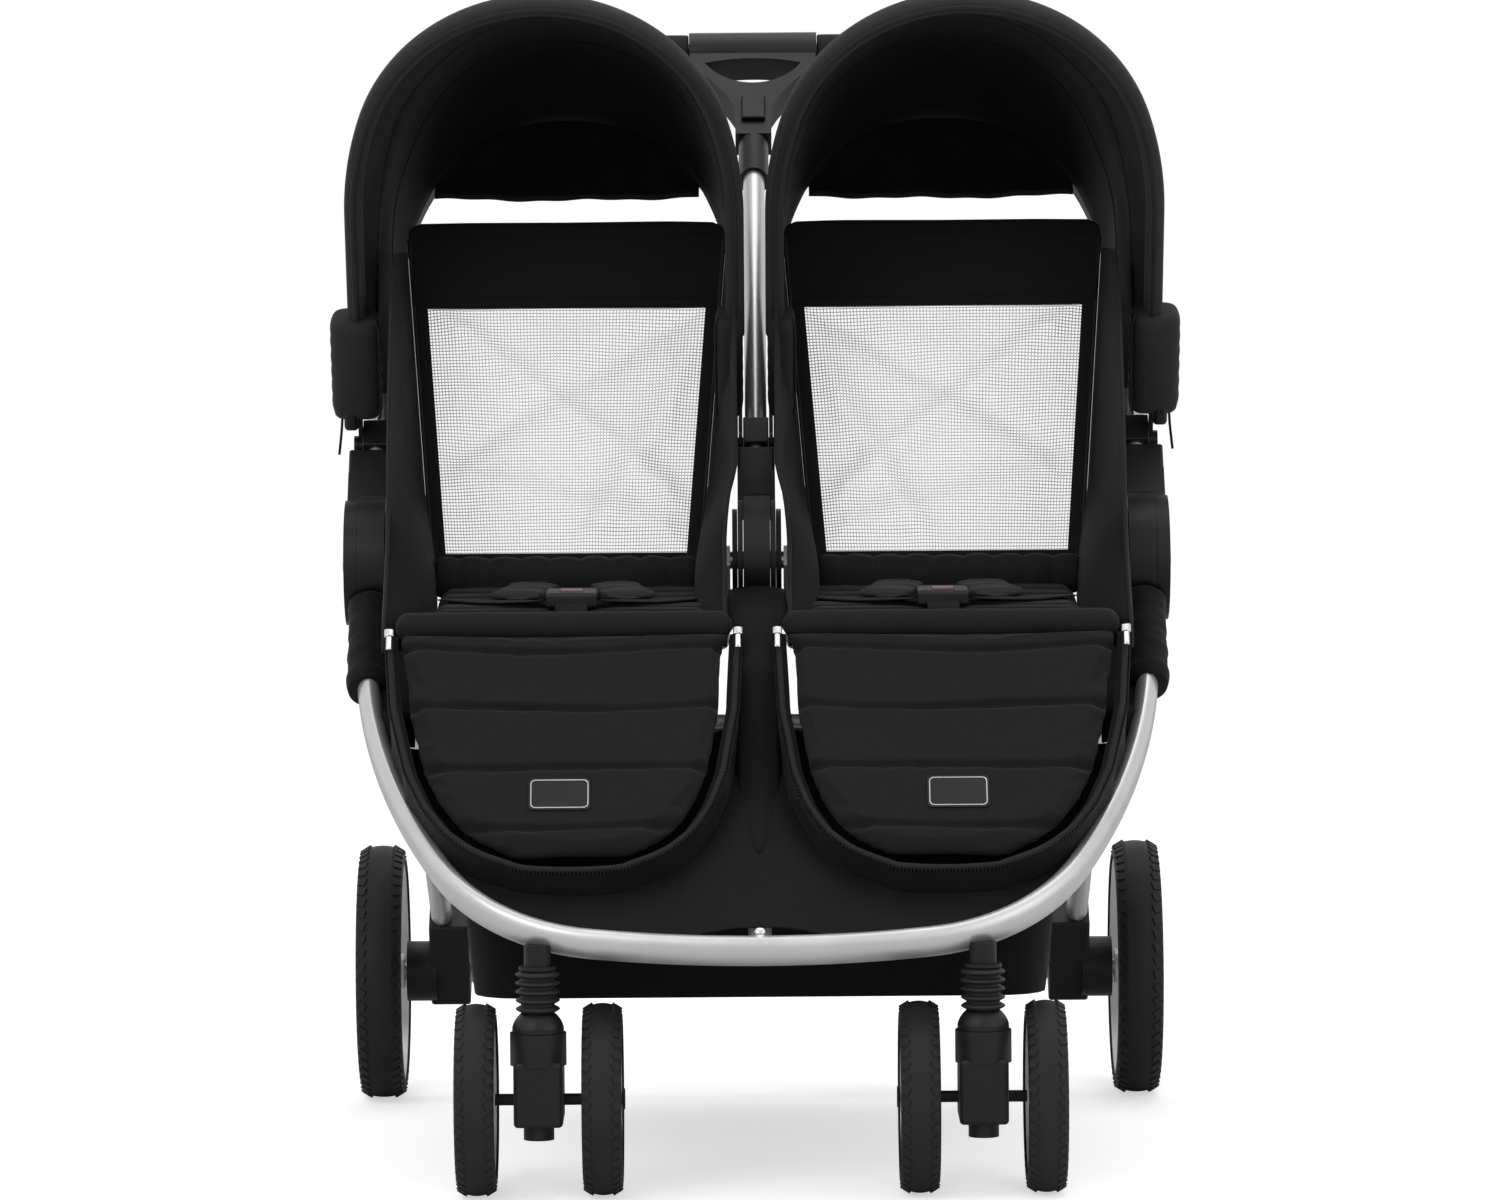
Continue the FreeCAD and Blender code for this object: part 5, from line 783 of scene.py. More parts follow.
def stuff(piece, cap, voxel):
    withModifier(piece, "REMESH", mode="VOXEL", voxel_size=voxel)
    before = [v.co.copy() for v in piece.data.vertices]
    cloth = piece.modifiers.new("cloth", "CLOTH")
    settings = cloth.settings
    settings.use_pressure = True
    settings.uniform_pressure_force = padMake["pressure"]
    settings.effector_weights.gravity = 0.0
    settings.tension_stiffness = 15
    settings.compression_stiffness = 15
    settings.quality = 5
    cloth.point_cache.frame_start = 1
    cloth.point_cache.frame_end = padMake["frames"]
    scene = bpy.context.scene
    for step in range(1, padMake["frames"] + 1):
        scene.frame_set(step)
    graph = bpy.context.evaluated_depsgraph_get()
    mesh = bpy.data.meshes.new_from_object(piece.evaluated_get(graph), depsgraph=graph)
    piece.modifiers.clear()
    for index, vertex in enumerate(mesh.vertices):
        shift = vertex.co - before[index]
        if shift.length > cap:
            shift *= cap / shift.length
        vertex.co = before[index] + shift
    piece.data = mesh
    scene.frame_set(1)
    return withModifier(piece, "SUBSURF", levels=1, render_levels=1)


def buildPad(kind):
    pad = padShapes[kind]
    origin, down, up = padFrame(pad)
    inset = padMake["inset"]
    grid = []
    rows = padMake["rows"]
    for i in range(rows):
        share = i / (rows - 1)
        half = padHalf(pad, min(share, 0.995)) - inset
        along = mix(inset, pad["length"] - inset, share)
        swell = math.sin(math.pi * min(1, max(0.0, min(share, 1 - share) / 0.05)) / 2)
        deep = (pad["thickness"] - 2 * inset) * (0.55 + 0.45 * swell)
        grid.append([padPoint(pad, a, inset + deep / 2 + b, along) for a, b in ovalSection(half, deep / 2, 48, 7.0)])
    piece = gridPiece("pad", grid, "seatCloth", closed=True, capped=True)
    stuff(piece, pad["cap"], padMake["voxel"])
    for vertex in piece.data.vertices:
        local = vertex.co - origin
        high, along = local.dot(up), local.dot(down)
        top = ease((high - pad["thickness"] * 0.35) / (pad["thickness"] * 0.4))
        wave = math.sin(local.x * 26 + along * 34) * 0.0014 + pad["sag"] * (math.cos(local.x * 9.5) - 0.6)
        distance = min(abs(along - wave - seam) for seam in pad["seams"])
        groove = math.exp(-(distance / padMake["grooveWidth"]) ** 2)
        near = math.exp(-(distance / padMake["puckerWidth"]) ** 2)
        pucker = noise.noise(Vector((local.x * 55, along * 30, 1.7))) * padMake["pucker"] * near
        soft = noise.noise(Vector((local.x * 11, along * 13, 7.3))) * padMake["soft"]
        vertex.co -= up * top * (pad["groove"] * groove - soft - pucker)
    return piece, pad


def limitHeight(piece, pad, low, high):
    origin, _, up = padFrame(pad)
    for vertex in piece.data.vertices:
        level = (vertex.co - origin).dot(up)
        if level < low:
            vertex.co += up * (low - level)
        elif level > high:
            vertex.co -= up * (level - high)
    piece.data.update()


def buildPads():
    for kind, node in (("seat", "seat_pad_"), ("calf", "calf_pad_")):
        piece, pad = buildPad(kind)
        limitHeight(piece, pad, 0.0, pad["thickness"] + padMake["ceiling"])
        piece.name = kind + "_cushion_right"
        other = mirrorPiece(piece, kind + "_cushion_left")
        for item, label in ((piece, "right"), (other, "left")):
            onBody(item, "front_frame", [node + label])


buildPads()
print("stroller: seat and calf pads")


# Zips round the calf pads: piping, teeth and pulls

zipLine = {
    "proud": 0.0195, "drop": 0.006, "under": 0.001, "pipe": 0.0027, "pipeShare": 0.35, "gap": 0.0065, "start": 0.03,
    "bulge": 0.004,
    "pitch": 0.0032, "tooth": (0.0014, 0.0034, 0.0012), "slide": (0.0042, 0.0022), "slideLift": 0.004,
    "slideStep": 0.001,
    "tag": (0.0024, 0.0008), "tagLift": (0.0055, 0.0002), "tagStep": (0.007, 0.0022), "flange": (-0.005, 0.0065),
    "skirtDrop": 0.009,
}


def calfOutline(pad, grow, high, count=90):
    right = []
    for step in range(31):
        share = mix(zipLine["start"], 1.0, step / 30)
        right.append((padHalf(pad, share) + grow, share * pad["length"]))
    half = right[-1][0]
    for k in range(1, 9):
        turn = k * math.pi / 16
        deep = math.sin(turn)
        right.append((half * math.cos(turn), pad["length"] + grow * 0.9 * deep + zipLine["bulge"] * deep))
    outline = right + [(-x, along) for x, along in reversed(right[:-1])]
    points = [padPoint(pad, x, high, along) for x, along in outline]
    return evenPath(smoothPath(points, 260), count)


def buildZips():
    pad = padShapes["calf"]
    up = padFrame(pad)[2]
    high = zipLine["proud"] - zipLine["drop"]
    rim = calfOutline(pad, zipLine["gap"] * zipLine["pipeShare"], high)
    pipe = sweepPiece("calf_piping_right", rim, ovalSection(zipLine["pipe"], zipLine["pipe"], 8), "piping", side=up)
    outer = calfOutline(pad, zipLine["gap"], high - zipLine["under"], 120)
    path = pathPiece("calf_zip_right", outer, "piping")
    teeth = applyTree(path, trees["row"], {"Pitch": zipLine["pitch"], "Size": zipLine["tooth"],
                                           "Finish": finishes["piping"]})
    pulls = []
    for end in (0, -1):
        top = rim[end]
        drop = padFrame(pad)[1]
        slide = [top + up * zipLine["slideLift"] + drop * (zipLine["slideStep"] * k) for k in range(8)]
        lift, rise = zipLine["tagLift"]
        first, pitch = zipLine["tagStep"]
        tag = [top + up * (lift + rise * k) + drop * (first + pitch * k) for k in range(8)]
        pulls.append(sweepPiece("pull", slide, ovalSection(*zipLine["slide"], 12, 3.0), "steel", side=(1, 0, 0)))
        pulls.append(sweepPiece("pull", tag, ovalSection(*zipLine["tag"], 10, 4.0), "steel", side=(1, 0, 0)))
    pull = joined("zip_pulls_right", pulls)
    for piece, slot in ((pipe, "black_fabric"), (teeth, "black_plastic"), (pull, "steel")):
        other = mirrorPiece(piece, piece.name.replace("right", "left"))
        onBody(piece, "front_frame")
        onBody(other, "front_frame")


buildZips()

# Thin bright rims round the bare plates

plateRim = {"wide": 0.053, "high": 0.032, "corner": 0.004, "place": 0.182, "proud": 0.0222, "wire": 0.0005,
            "inset": 0.002, "x": 0.171}


def buildPlateRims():
    pad = padShapes["calf"]
    wide = plateRim["wide"] / 2 - plateRim["inset"]
    high = plateRim["high"] / 2 - plateRim["inset"]
    corner = plateRim["corner"]
    for label, sign in sides:
        loop = []
        for cx, cy, first in ((wide - corner, high - corner, 0), (corner - wide, high - corner, 90),
                              (corner - wide, corner - high, 180), (wide - corner, corner - high, 270)):
            for step in range(7):
                turn = math.radians(first + step * 15)
                loop.append((cx + corner * math.cos(turn), cy + corner * math.sin(turn)))
        grid = []
        origin, down, up = padFrame(pad)
        centre = Vector((sign * plateRim["x"], origin.y, origin.z))
        count = len(loop)
        for index in range(count + 1):
            x, y = loop[index % count]
            before, after = Vector(loop[(index - 1) % count]), Vector(loop[(index + 1) % count])
            out = Vector(((after - before).y, -(after - before).x)).normalized()
            point = centre + Vector((x, 0, 0)) + down * (plateRim["place"] + y) + up * plateRim["proud"]
            outward = Vector((out.x, 0, 0)) + down * out.y
            grid.append([point + outward * a + up * b for a,
                         b in ovalSection(plateRim["wire"], plateRim["wire"] * 0.7, 8)])
        piece = gridPiece("plate_rim_" + label, grid, "tubePaint", closed=True)
        onBody(piece, "front_frame")


buildPlateRims()
print("stroller: zips and plates")


# Backrests: black borders and top band round a window of pale see-through net

backrest = {
    "bight": (0.172, 0.022, 0.500), "slope": 66.0, "length": 0.345, "top": 0.146, "foot": 0.120,
    "border": 0.013, "low": 0.022, "high": 0.267, "thick": 0.0040, "netColumns": 84, "netRows": 80, "holeShare": 0.72,
    "netWall": 0.0005,
    "bandUnder": 0.004, "bandOver": 0.002, "corner": 0.012, "cornerRise": 0.014, "thinEnd": 0.45, "bandNoise": 0.0016,
    "bandWave": 0.0006,
    "start": 0.004, "hemAt": 0.0155, "hemHalf": 0.0085, "sleeve": 0.0070, "sleeveHalf": 0.119,
    "binding": (0.0022, 0.0026), "bindingIn": 0.0008, "netFade": 8, "netNoise": 0.0036,
    "stitchPitch": 0.0042, "stitch": (0.0007, 0.0007, 0.0028), "stitchIn": 0.014, "stitchLift": 0.0009,
    "stitchRows": (0.004, -0.012),
}
# Soft diagonal folds of the net: height, share of across and along, place and width
netFolds = ((0.0062, 1.0, -1.1, 0.15, 0.16), (-0.0052, 0.7, 1.0, -0.35, 0.14), (0.0050, 1.0, 0.5, 0.62, 0.12),
            (0.0044, -0.3, 1.0, 0.62, 0.13))


def backFrame():
    turn = math.radians(backrest["slope"])
    return Vector(backrest["bight"]), Vector((0, math.cos(turn), math.sin(turn))), Vector((0, -math.sin(turn),
            math.cos(turn)))


def backPoint(x, along, out=0.0):
    bight, rise, face = backFrame()
    return bight + Vector((x, 0, 0)) + rise * along + face * out


def backHalf(along):
    return mix(backrest["foot"], backrest["top"], along / backrest["length"])


def buildBackrests():
    _, rise, _ = backFrame()
    thick = backrest["thick"]
    band = []
    rows = 22
    for i in range(rows):
        share = i / (rows - 1)
        along = mix(backrest["high"] - backrest["bandUnder"], backrest["length"] + backrest["bandOver"], share)
        half = backHalf(along)
        close = max(0.0, (along - (backrest["length"] - backrest["corner"])) / backrest["cornerRise"])
        half -= backrest["corner"] * (1 - math.sqrt(max(0.0, 1 - min(1, close) ** 2)))
        row = []
        for a, b in ovalSection(half, thick * (backrest["thinEnd"] if i in (0, rows - 1) else 1.0), 72, 9.0):
            wave = noise.noise(Vector((a * 16, along * 20, 4.4))) * backrest["bandNoise"]
            wave += math.sin(a * 38 + along * 30) * backrest["bandWave"]
            row.append(backPoint(a, along, -b + wave))
        band.append(row)
    top = gridPiece("backrest_band", band, "panelCloth", closed=True, capped=True)
    edges = []
    for sign in (1, -1):
        places = [mix(backrest["start"], backrest["high"], s / 30) for s in range(31)]
        path = [backPoint(sign * (backHalf(k) - backrest["border"] / 2), k) for k in places]
        edges.append(sweepPiece("edge", path, ovalSection(backrest["border"] / 2, thick * 0.9, 14, 4.0), "panelCloth",
                                side=(1, 0, 0)))
    hemEnd = backHalf(0.012) - 0.004
    hem = [backPoint(mix(-hemEnd, hemEnd, s / 30), backrest["hemAt"]) for s in range(31)]
    edges.append(sweepPiece("edge", hem, ovalSection(backrest["hemHalf"], thick * 0.85, 14, 4.0), "panelCloth",
                            side=rise))
    roll = [backPoint(mix(-backrest["sleeveHalf"], backrest["sleeveHalf"], s / 30), 0.0) for s in range(31)]
    edges.append(sweepPiece("edge", roll, ovalSection(backrest["sleeve"], backrest["sleeve"], 16), "panelCloth",
                            side=rise))
    frameCloth = joined("backrest_cloth_right", [top] + edges)
    bind = []
    for sign in (1, -1):
        places = [mix(backrest["start"], backrest["length"] - backrest["cornerRise"], s / 40) for s in range(41)]
        path = [backPoint(sign * (backHalf(k) - backrest["bindingIn"]), k, thick * 0.3) for k in places]
        bind.append(sweepPiece("bind", path, ovalSection(*backrest["binding"], 8), "piping", side=(1, 0, 0)))
    binding = joined("backrest_binding_right", bind)
    rows, cols = backrest["netRows"] + 1, backrest["netColumns"] + 1
    net = []
    for i in range(rows):
        along = mix(backrest["low"], backrest["high"], i / (rows - 1))
        half = backHalf(along) - backrest["border"] + 0.001
        row = []
        for j in range(cols):
            x = mix(-half, half, j / (cols - 1))
            edge = min(1.0, min(i, rows - 1 - i, j, cols - 1 - j) / backrest["netFade"])
            u, v = x / 0.13, (along - 0.145) / 0.12
            fold = sum(height * math.exp(-((u * across + v * up + place) / width) ** 2) for height, across, up, place,
                       width in netFolds)
            fold += noise.noise(Vector((u * 2.2, v * 2.2, 2.6))) * backrest["netNoise"]
            row.append(backPoint(x, along, fold * edge))
        net.append(row)
    netPiece = applyTree(gridPiece("backrest_net", net, "netThread"), trees["mesh"],
                         {"Hole Share": backrest["holeShare"], "Finish": finishes["netThread"]})
    netPiece = withModifier(netPiece, "SOLIDIFY", thickness=backrest["netWall"], offset=0.0)
    netPiece.name = "backrest_net_right"
    stitchPaths = []
    for along in (backrest["high"] + backrest["stitchRows"][0], backrest["length"] + backrest["stitchRows"][1]):
        half = backHalf(along) - backrest["stitchIn"]
        stitchPaths.append([backPoint(mix(-half, half, s / 60), along,
                                      thick + backrest["stitchLift"]) for s in range(61)])
    rowsOf = []
    for points in stitchPaths:
        start = pathPiece("stitches", points, "webbing")
        rowsOf.append(applyTree(start, trees["row"],
                                {"Pitch": backrest["stitchPitch"], "Size": backrest["stitch"],
                                 "Finish": finishes["webbing"]}))
    stitches = joined("band_stitches_right", rowsOf)
    for piece in (frameCloth, binding, netPiece, stitches):
        other = mirrorPiece(piece, piece.name.replace("right", "left"))
        for item, label in ((piece, "right"), (other, "left")):
            onBody(item, "back_" + label, ["backrest_" + label] if piece is frameCloth else ())


buildBackrests()
print("stroller: backrests")


# Wings beside the backrests: cloth from the backrest's edge forward to the frame

wings = {
    "outer": {"rows": ((0.452, -0.203, 0.3262), (0.478, -0.196, 0.3262), (0.505, -0.160, 0.3262),
                       (0.535, -0.126, 0.3262), (0.566, -0.104, 0.3262), (0.600, -0.088, 0.3262),
                       (0.640, -0.070, 0.3262), (0.700, -0.030, 0.3262), (0.760, 0.012, 0.3258),
                       (0.792, 0.040, 0.3250))},
    "inner": {"rows": ((0.455, -0.203, 0.0285), (0.480, -0.196, 0.0285), (0.510, -0.140, 0.0285),
                       (0.545, -0.084, 0.0285), (0.580, -0.056, 0.0250), (0.606, -0.050, 0.0185),
                       (0.640, -0.040, 0.0185), (0.700, -0.008, 0.0188), (0.760, 0.034, 0.0195),
                       (0.792, 0.060, 0.0215))},
    "thickness": 0.0016, "edge": 0.0020, "ripple": 0.0012, "bulge": 0.0010, "lowFrom": 0.505, "lowOver": 0.075,
    "behind": 0.003, "forward": 0.018, "beside": 0.0022, "inward": 0.006,
}


def buildWings():
    for where, sign in (("outer", 1), ("inner", -1)):
        marks = [Vector(row) for row in wings[where]["rows"]]
        rows = smoothPath(marks, 34)
        grid = []
        for height, front, side in [(m.x, m.y, m.z) for m in rows]:
            along = max(0.0, height - 0.500) / math.sin(math.radians(backrest["slope"]))
            low = 1 - ease((height - wings["lowFrom"]) / wings["lowOver"])
            lean = along * math.cos(math.radians(backrest["slope"]))
            backY = backrest["bight"][1] + lean - wings["behind"] - wings["forward"] * low
            backX = backrest["bight"][0] + sign * (backHalf(along) + wings["beside"] - wings["inward"] * low)
            row = []
            for j in range(20):
                share = j / 19
                x = mix(backX, side, share ** mix(0.75, 6.0, low))
                ripple = wings["ripple"] * math.sin(height * 90 + share * 5) + wings["bulge"]
                ripple *= math.sin(math.pi * share)
                row.append(Vector((x + sign * ripple * (0.3 if where == "outer" else 1), mix(backY, front, share),
                                   height)))
            grid.append(row)
        piece = withModifier(gridPiece("wing_%s_right" % where, grid, "panelCloth"), "SOLIDIFY",
                             thickness=wings["thickness"], offset=0.0)
        edge = sweepPiece("wing_edge_%s_right" % where, [row[-1] for row in grid],
                          ovalSection(wings["edge"], wings["edge"], 8), "piping", side=(1, 0, 0))
        for item in (piece, edge):
            other = mirrorPiece(item, item.name.replace("right", "left"))
            for cloth, label in ((item, "right"), (other, "left")):
                onBody(cloth, "front_frame", ["side_wings"] if item is piece else ())
                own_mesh(cloth)


buildWings()
print("stroller: wings")


# Leg panel: cloth across the hoop, raised over the centre tube, and its strip up to the seats

legPanel = {
    "frameHalf": 0.345, "reach": 0.5136, "sideRadius": 0.620, "sideTurn": 28.0, "cornerRadius": 0.173,
    "cornerTurn": 54.0,
    "inset": 0.0108, "top": 0.236, "ridge": 0.0172, "ridgeHalf": 0.013, "ridgeFoot": 0.085, "sag": 0.004,
    "thickness": 0.0018, "crease": 0.0018,
    "hem": (0.0026, 0.0018), "hemLift": 0.0008, "stripHalf": (0.0172, 0.0255), "stripThickness": 0.0018,
    "stripFoot": ((0, 0.410, 0.0178), (0, 0.380, 0.0186), (0, 0.352, 0.0194), (0, 0.330, 0.0205),
                  (0, 0.300, 0.030), (0, 0.262, 0.052), (0, 0.225, 0.078)),
    "stripTop": ((0, -0.183, 0.4735), (0, -0.140, 0.4850), (0, -0.092, 0.4925), (0, -0.060, 0.4970)),
    "gussetReach": (0.104, 0.252), "gussetSide": (0.300, 0.3338), "gussetThickness": 0.0016,
    "snapAt": 0.0095, "snap": ((0.0052, 0.0105), (0.0056, 0.0148), (0.0048, 0.0162), (0.0030, 0.0170),
                               (0.0010, 0.0173)),
}


def hoopHalfLine():
    first = math.radians(legPanel["sideTurn"])
    second = math.radians(legPanel["sideTurn"] + legPanel["cornerTurn"])
    side, corner = legPanel["sideRadius"], legPanel["cornerRadius"]
    inwards = side * (1 - math.cos(first)) + corner * (math.cos(first) - math.cos(second))
    base = (legPanel["frameHalf"] - inwards) / math.cos(second)
    outwards = side * math.sin(first) + corner * (math.sin(second) - math.sin(first)) + base * (1 - math.sin(second))
    bend = legPanel["reach"] - outwards
    line = [Vector((legPanel["frameHalf"], mix(0.10, bend, k / 10))) for k in range(11)]
    centre = Vector((legPanel["frameHalf"] - side, bend))
    line += [centre + Vector((math.cos(first * k / 14), math.sin(first * k / 14))) * side for k in range(1, 15)]
    centre = line[-1] - Vector((math.cos(first), math.sin(first))) * corner
    line += [centre + Vector((math.cos(mix(first, second, k / 18)),
                              math.sin(mix(first, second, k / 18)))) * corner for k in range(1, 19)]
    centre = line[-1] - Vector((math.cos(second), math.sin(second))) * base
    line += [centre + Vector((math.cos(mix(second, math.pi / 2, k / 20)),
                              math.sin(mix(second, math.pi / 2, k / 20)))) * base for k in range(1, 21)]
    return line


def onHoop(x, reach, lift):
    turn = math.radians(layout["hoopAngle"])
    return hub + Vector((x, reach * math.cos(turn) + lift * math.sin(turn),
                         reach * math.sin(turn) - lift * math.cos(turn)))


def insetLine(line, inset):
    out = []
    for index, point in enumerate(line):
        along = (line[min(index + 1, len(line) - 1)] - line[max(index - 1, 0)]).normalized()
        out.append(point + Vector((-along.y, along.x)) * inset)
    return out


def panelLift(x, reach):
    slopeWide = legPanel["ridgeFoot"] - legPanel["ridgeHalf"]
    ridge = legPanel["ridge"] * (1 - ease((abs(x) - legPanel["ridgeHalf"]) / slopeWide))
    field = legPanel["sag"] * ease((abs(x) - 0.06) / 0.08) * ease((legPanel["reach"] - reach) / 0.08)
    crease = noise.noise(Vector((x * 9, reach * 11, 0.4))) * legPanel["crease"]
    crease *= ease((legPanel["reach"] - 0.01 - reach) / 0.05)
    return ridge - field + crease


def buildLegPanel():
    line = insetLine(hoopHalfLine(), legPanel["inset"])
    line = [p for p in line if p.y > legPanel["top"]]
    line = evenPath([Vector((p.x, p.y, 0)) for p in line], 58)
    grid = []
    for index, point in enumerate(line):
        half = max(point.x, 0.004)
        row = []
        for j in range(61):
            across = -1 + 2 * j / 60
            x = half * math.sin(across * math.pi / 2) * 0.35 + half * across * 0.65
            rimmed = 1 - ease((abs(x) / half - 0.93) / 0.07)
            row.append(onHoop(x, point.y, panelLift(x, point.y) * max(rimmed, 1 - ease((abs(x) - 0.08) / 0.02))))
        grid.append(row)
    panel = withModifier(gridPiece("leg_panel_cloth", grid, "panelCloth"), "SOLIDIFY",
                         thickness=legPanel["thickness"], offset=0.0)
    onBody(panel, "front_frame", ["leg_panel"])
    hemPath = [onHoop(p.x, p.y, legPanel["hemLift"]) for p in line]
    hemPath = hemPath + [Vector((-p.x, p.y, p.z)) for p in reversed(hemPath[:-1])]
    hem = sweepPiece("leg_panel_hem", hemPath, ovalSection(*legPanel["hem"], 8), "piping", side=(0, 0, 1))
    onBody(hem, "front_frame")
    strip = smoothPath(legPanel["stripFoot"], 24)
    points = [onHoop(0, p.y, p.z) for p in strip] + [Vector(p) for p in legPanel["stripTop"]]
    points = smoothPath(points, 40)
    grid = []
    for index, point in enumerate(points):
        share = index / 39
        half = mix(*legPanel["stripHalf"], ease((share - 0.50) / 0.3)) * (0.10 + 0.90 * math.sqrt(min(1.0,
                share / 0.20)))
        row = []
        for j in range(13):
            across = -1 + 2 * j / 12
            row.append(point + Vector((half * across, 0.0022 * across ** 2,
                                       -0.0035 * across ** 2 + 0.0008 * math.sin(share * 22))))
        grid.append(row)
    middle = withModifier(gridPiece("centre_strip", grid, "panelCloth"), "SOLIDIFY",
                          thickness=legPanel["stripThickness"], offset=0.0)
    onBody(middle, "front_frame")
    gusset = []
    for i in range(26):
        reach = mix(*legPanel["gussetReach"], i / 25)
        lift = 0.0105 * math.exp(-((reach - 0.222) / 0.014) ** 2) + 0.001
        gusset.append([onHoop(mix(*legPanel["gussetSide"], j / 7), reach,
                              lift + 0.0015 * math.sin(j * 0.9)) for j in range(8)])
    right = withModifier(gridPiece("panel_gusset_right", gusset, "panelCloth"), "SOLIDIFY",
                         thickness=legPanel["gussetThickness"], offset=0.0)
    left = mirrorPiece(right, "panel_gusset_left")
    for piece in (right, left):
        onBody(piece, "front_frame")
    snap = []
    seat = onHoop(0, legPanel["reach"] - legPanel["snapAt"], 0.0)
    face = (onHoop(0, 0.5, 1) - onHoop(0, 0.5, 0)).normalized()
    along = (onHoop(0, 0.6, 0) - onHoop(0, 0.5, 0)).normalized()
    for radius, lift in legPanel["snap"]:
        ring = []
        for step in range(20):
            turn = step * math.pi / 10
            ring.append(seat + face * lift + Vector((1, 0, 0)) * radius * math.cos(turn)
                        + along * radius * math.sin(turn))
        snap.append(ring)
    stud = gridPiece("panel_snap", snap, "steel", closed=True, capped=True)
    onBody(stud, "front_frame")


buildLegPanel()
print("stroller: leg panel")


# Cloth sides from the zips back to the leg panel, and the roll at the seats' front edge

knee = {"half": 0.147, "at": (-0.1995, 0.4735), "size": (0.0150, 0.0128), "skirtThickness": 0.0014}


def buildSkirts():
    pad = padShapes["calf"]
    turn = math.radians(layout["hoopAngle"])
    along = Vector((0, math.cos(turn), math.sin(turn)))
    outline = calfOutline(pad, zipLine["gap"] * 0.9, zipLine["proud"] - zipLine["skirtDrop"], 110)
    edges = calfOutline(pad, *zipLine["flange"], 110)
    grid = []
    for edge, point in zip(edges, outline):
        reach = (point - hub).dot(along)
        foot = onHoop(point.x, reach, panelLift(point.x, reach) + 0.0014 if reach > legPanel["top"] else 0.004)
        row = [edge, edge.lerp(point, 0.5) - padFrame(pad)[2] * 0.001]
        for j in range(12):
            share = j / 11
            slack = math.sin(math.pi * share) * (0.0022 + 0.0012 * math.sin(point.z * 120))
            inward = Vector((pad["x"] - point.x, 0, 0))
            inward = inward.normalized() if inward.length > 0.02 else inward
            row.append(point.lerp(foot, share) + inward * slack)
        grid.append(row)
    right = withModifier(gridPiece("calf_skirt_right", grid, "panelCloth"), "SOLIDIFY",
                         thickness=knee["skirtThickness"], offset=0.0)
    left = mirrorPiece(right, "calf_skirt_left")
    for piece, label in ((right, "right"), (left, "left")):
        onBody(piece, "front_frame")


def buildKnees():
    for label, sign in sides:
        path = [Vector((sign * padShapes["calf"]["x"] + mix(-knee["half"], knee["half"], k / 95),
                        *knee["at"])) for k in range(96)]

        def section(share):
            end = min(share, 1 - share) / 0.04
            full = math.sqrt(max(0.08, 1 - (1 - min(1, end)) ** 2))
            lump = full * (1 + 0.05 * noise.noise(Vector((share * 10, 1.4, 8.2))))
            return ovalSection(knee["size"][0] * lump, knee["size"][1] * lump, 28, 2.2)

        roll = sweepPiece("knee_roll_" + label, path, section, "seatCloth", side=(0, 1, 0))
        onBody(roll, "front_frame")


buildSkirts()
buildKnees()
print("stroller: skirts and knee rolls")


# Cloth collars round the hoop beside the seats, and the quilted roll at the foot of each backrest

collar = {"low": 0.062, "high": 0.176, "radius": 0.0182, "roll": (0.0150, 0.0185), "rollHalf": 0.121,
          "rollAt": (-0.0060, 0.5035)}


def buildCollars():
    path = [onHoop(legPanel["frameHalf"], mix(collar["low"], collar["high"], k / 35), 0.0) for k in range(36)]

    def section(share):
        fold = 1 + 0.025 * math.sin(share * 23) + 0.015 * math.sin(share * 51 + 1) + 0.06 * (1 - share) ** 6
        mouth = 1 - 0.10 * max(0.0, share - 0.93) / 0.07
        shape = []
        for k, (a, b) in enumerate(ovalSection(collar["radius"], collar["radius"], 28)):
            swell = fold * mouth * (1 + 0.05 * noise.noise(Vector((share * 7, math.cos(k * 0.224) * 1.4,
                    math.sin(k * 0.224) * 1.4))))
            shape.append((a * swell, b * swell))
        return shape

    right = sweepPiece("hoop_collar_right", path, section, "panelCloth", side=(1, 0, 0))
    left = mirrorPiece(right, "hoop_collar_left")
    for piece in (right, left):
        onBody(piece, "front_frame")


def buildRolls():
    for label, sign in sides:
        path = [Vector((sign * backrest["bight"][0] + mix(-collar["rollHalf"], collar["rollHalf"], k / 95),
                        *collar["rollAt"])) for k in range(96)]

        def section(share):
            end = min(share, 1 - share) / 0.03
            full = math.sqrt(max(0.08, 1 - (1 - min(1, end)) ** 2))
            channel = abs(math.sin(math.pi * share * 9)) ** 0.45
            lump = full * (0.80 + 0.20 * channel) * (1 + 0.05 * noise.noise(Vector((share * 14, 0.4, 2.2))))
            return [(a, b) for a, b in ovalSection(collar["roll"][0] * lump, collar["roll"][1] * lump, 28, 2.4)]

        roll = sweepPiece("seat_roll_" + label, path, section, "seatCloth", side=(0, 1, 0))
        onBody(roll, "back_" + label)


buildCollars()
buildRolls()
print("stroller: collars and rolls")


# Basket: one sagging shell hung under the seats

basketShape = {"half": 0.2605, "footHalf": 0.2490, "front": 0.2665, "frontFoot": 0.2485, "rear": 0.1195,
               "rearFoot": 0.2040,
               "top": 0.2890, "floor": 0.1535, "corner": 0.040, "thickness": 0.0020, "hem": (0.0026, 0.0075),
               "sag": 0.0065, "wrinkle": 0.0016, "dip": 0.008,
               "slack": 0.0035, "turnIn": 0.28}


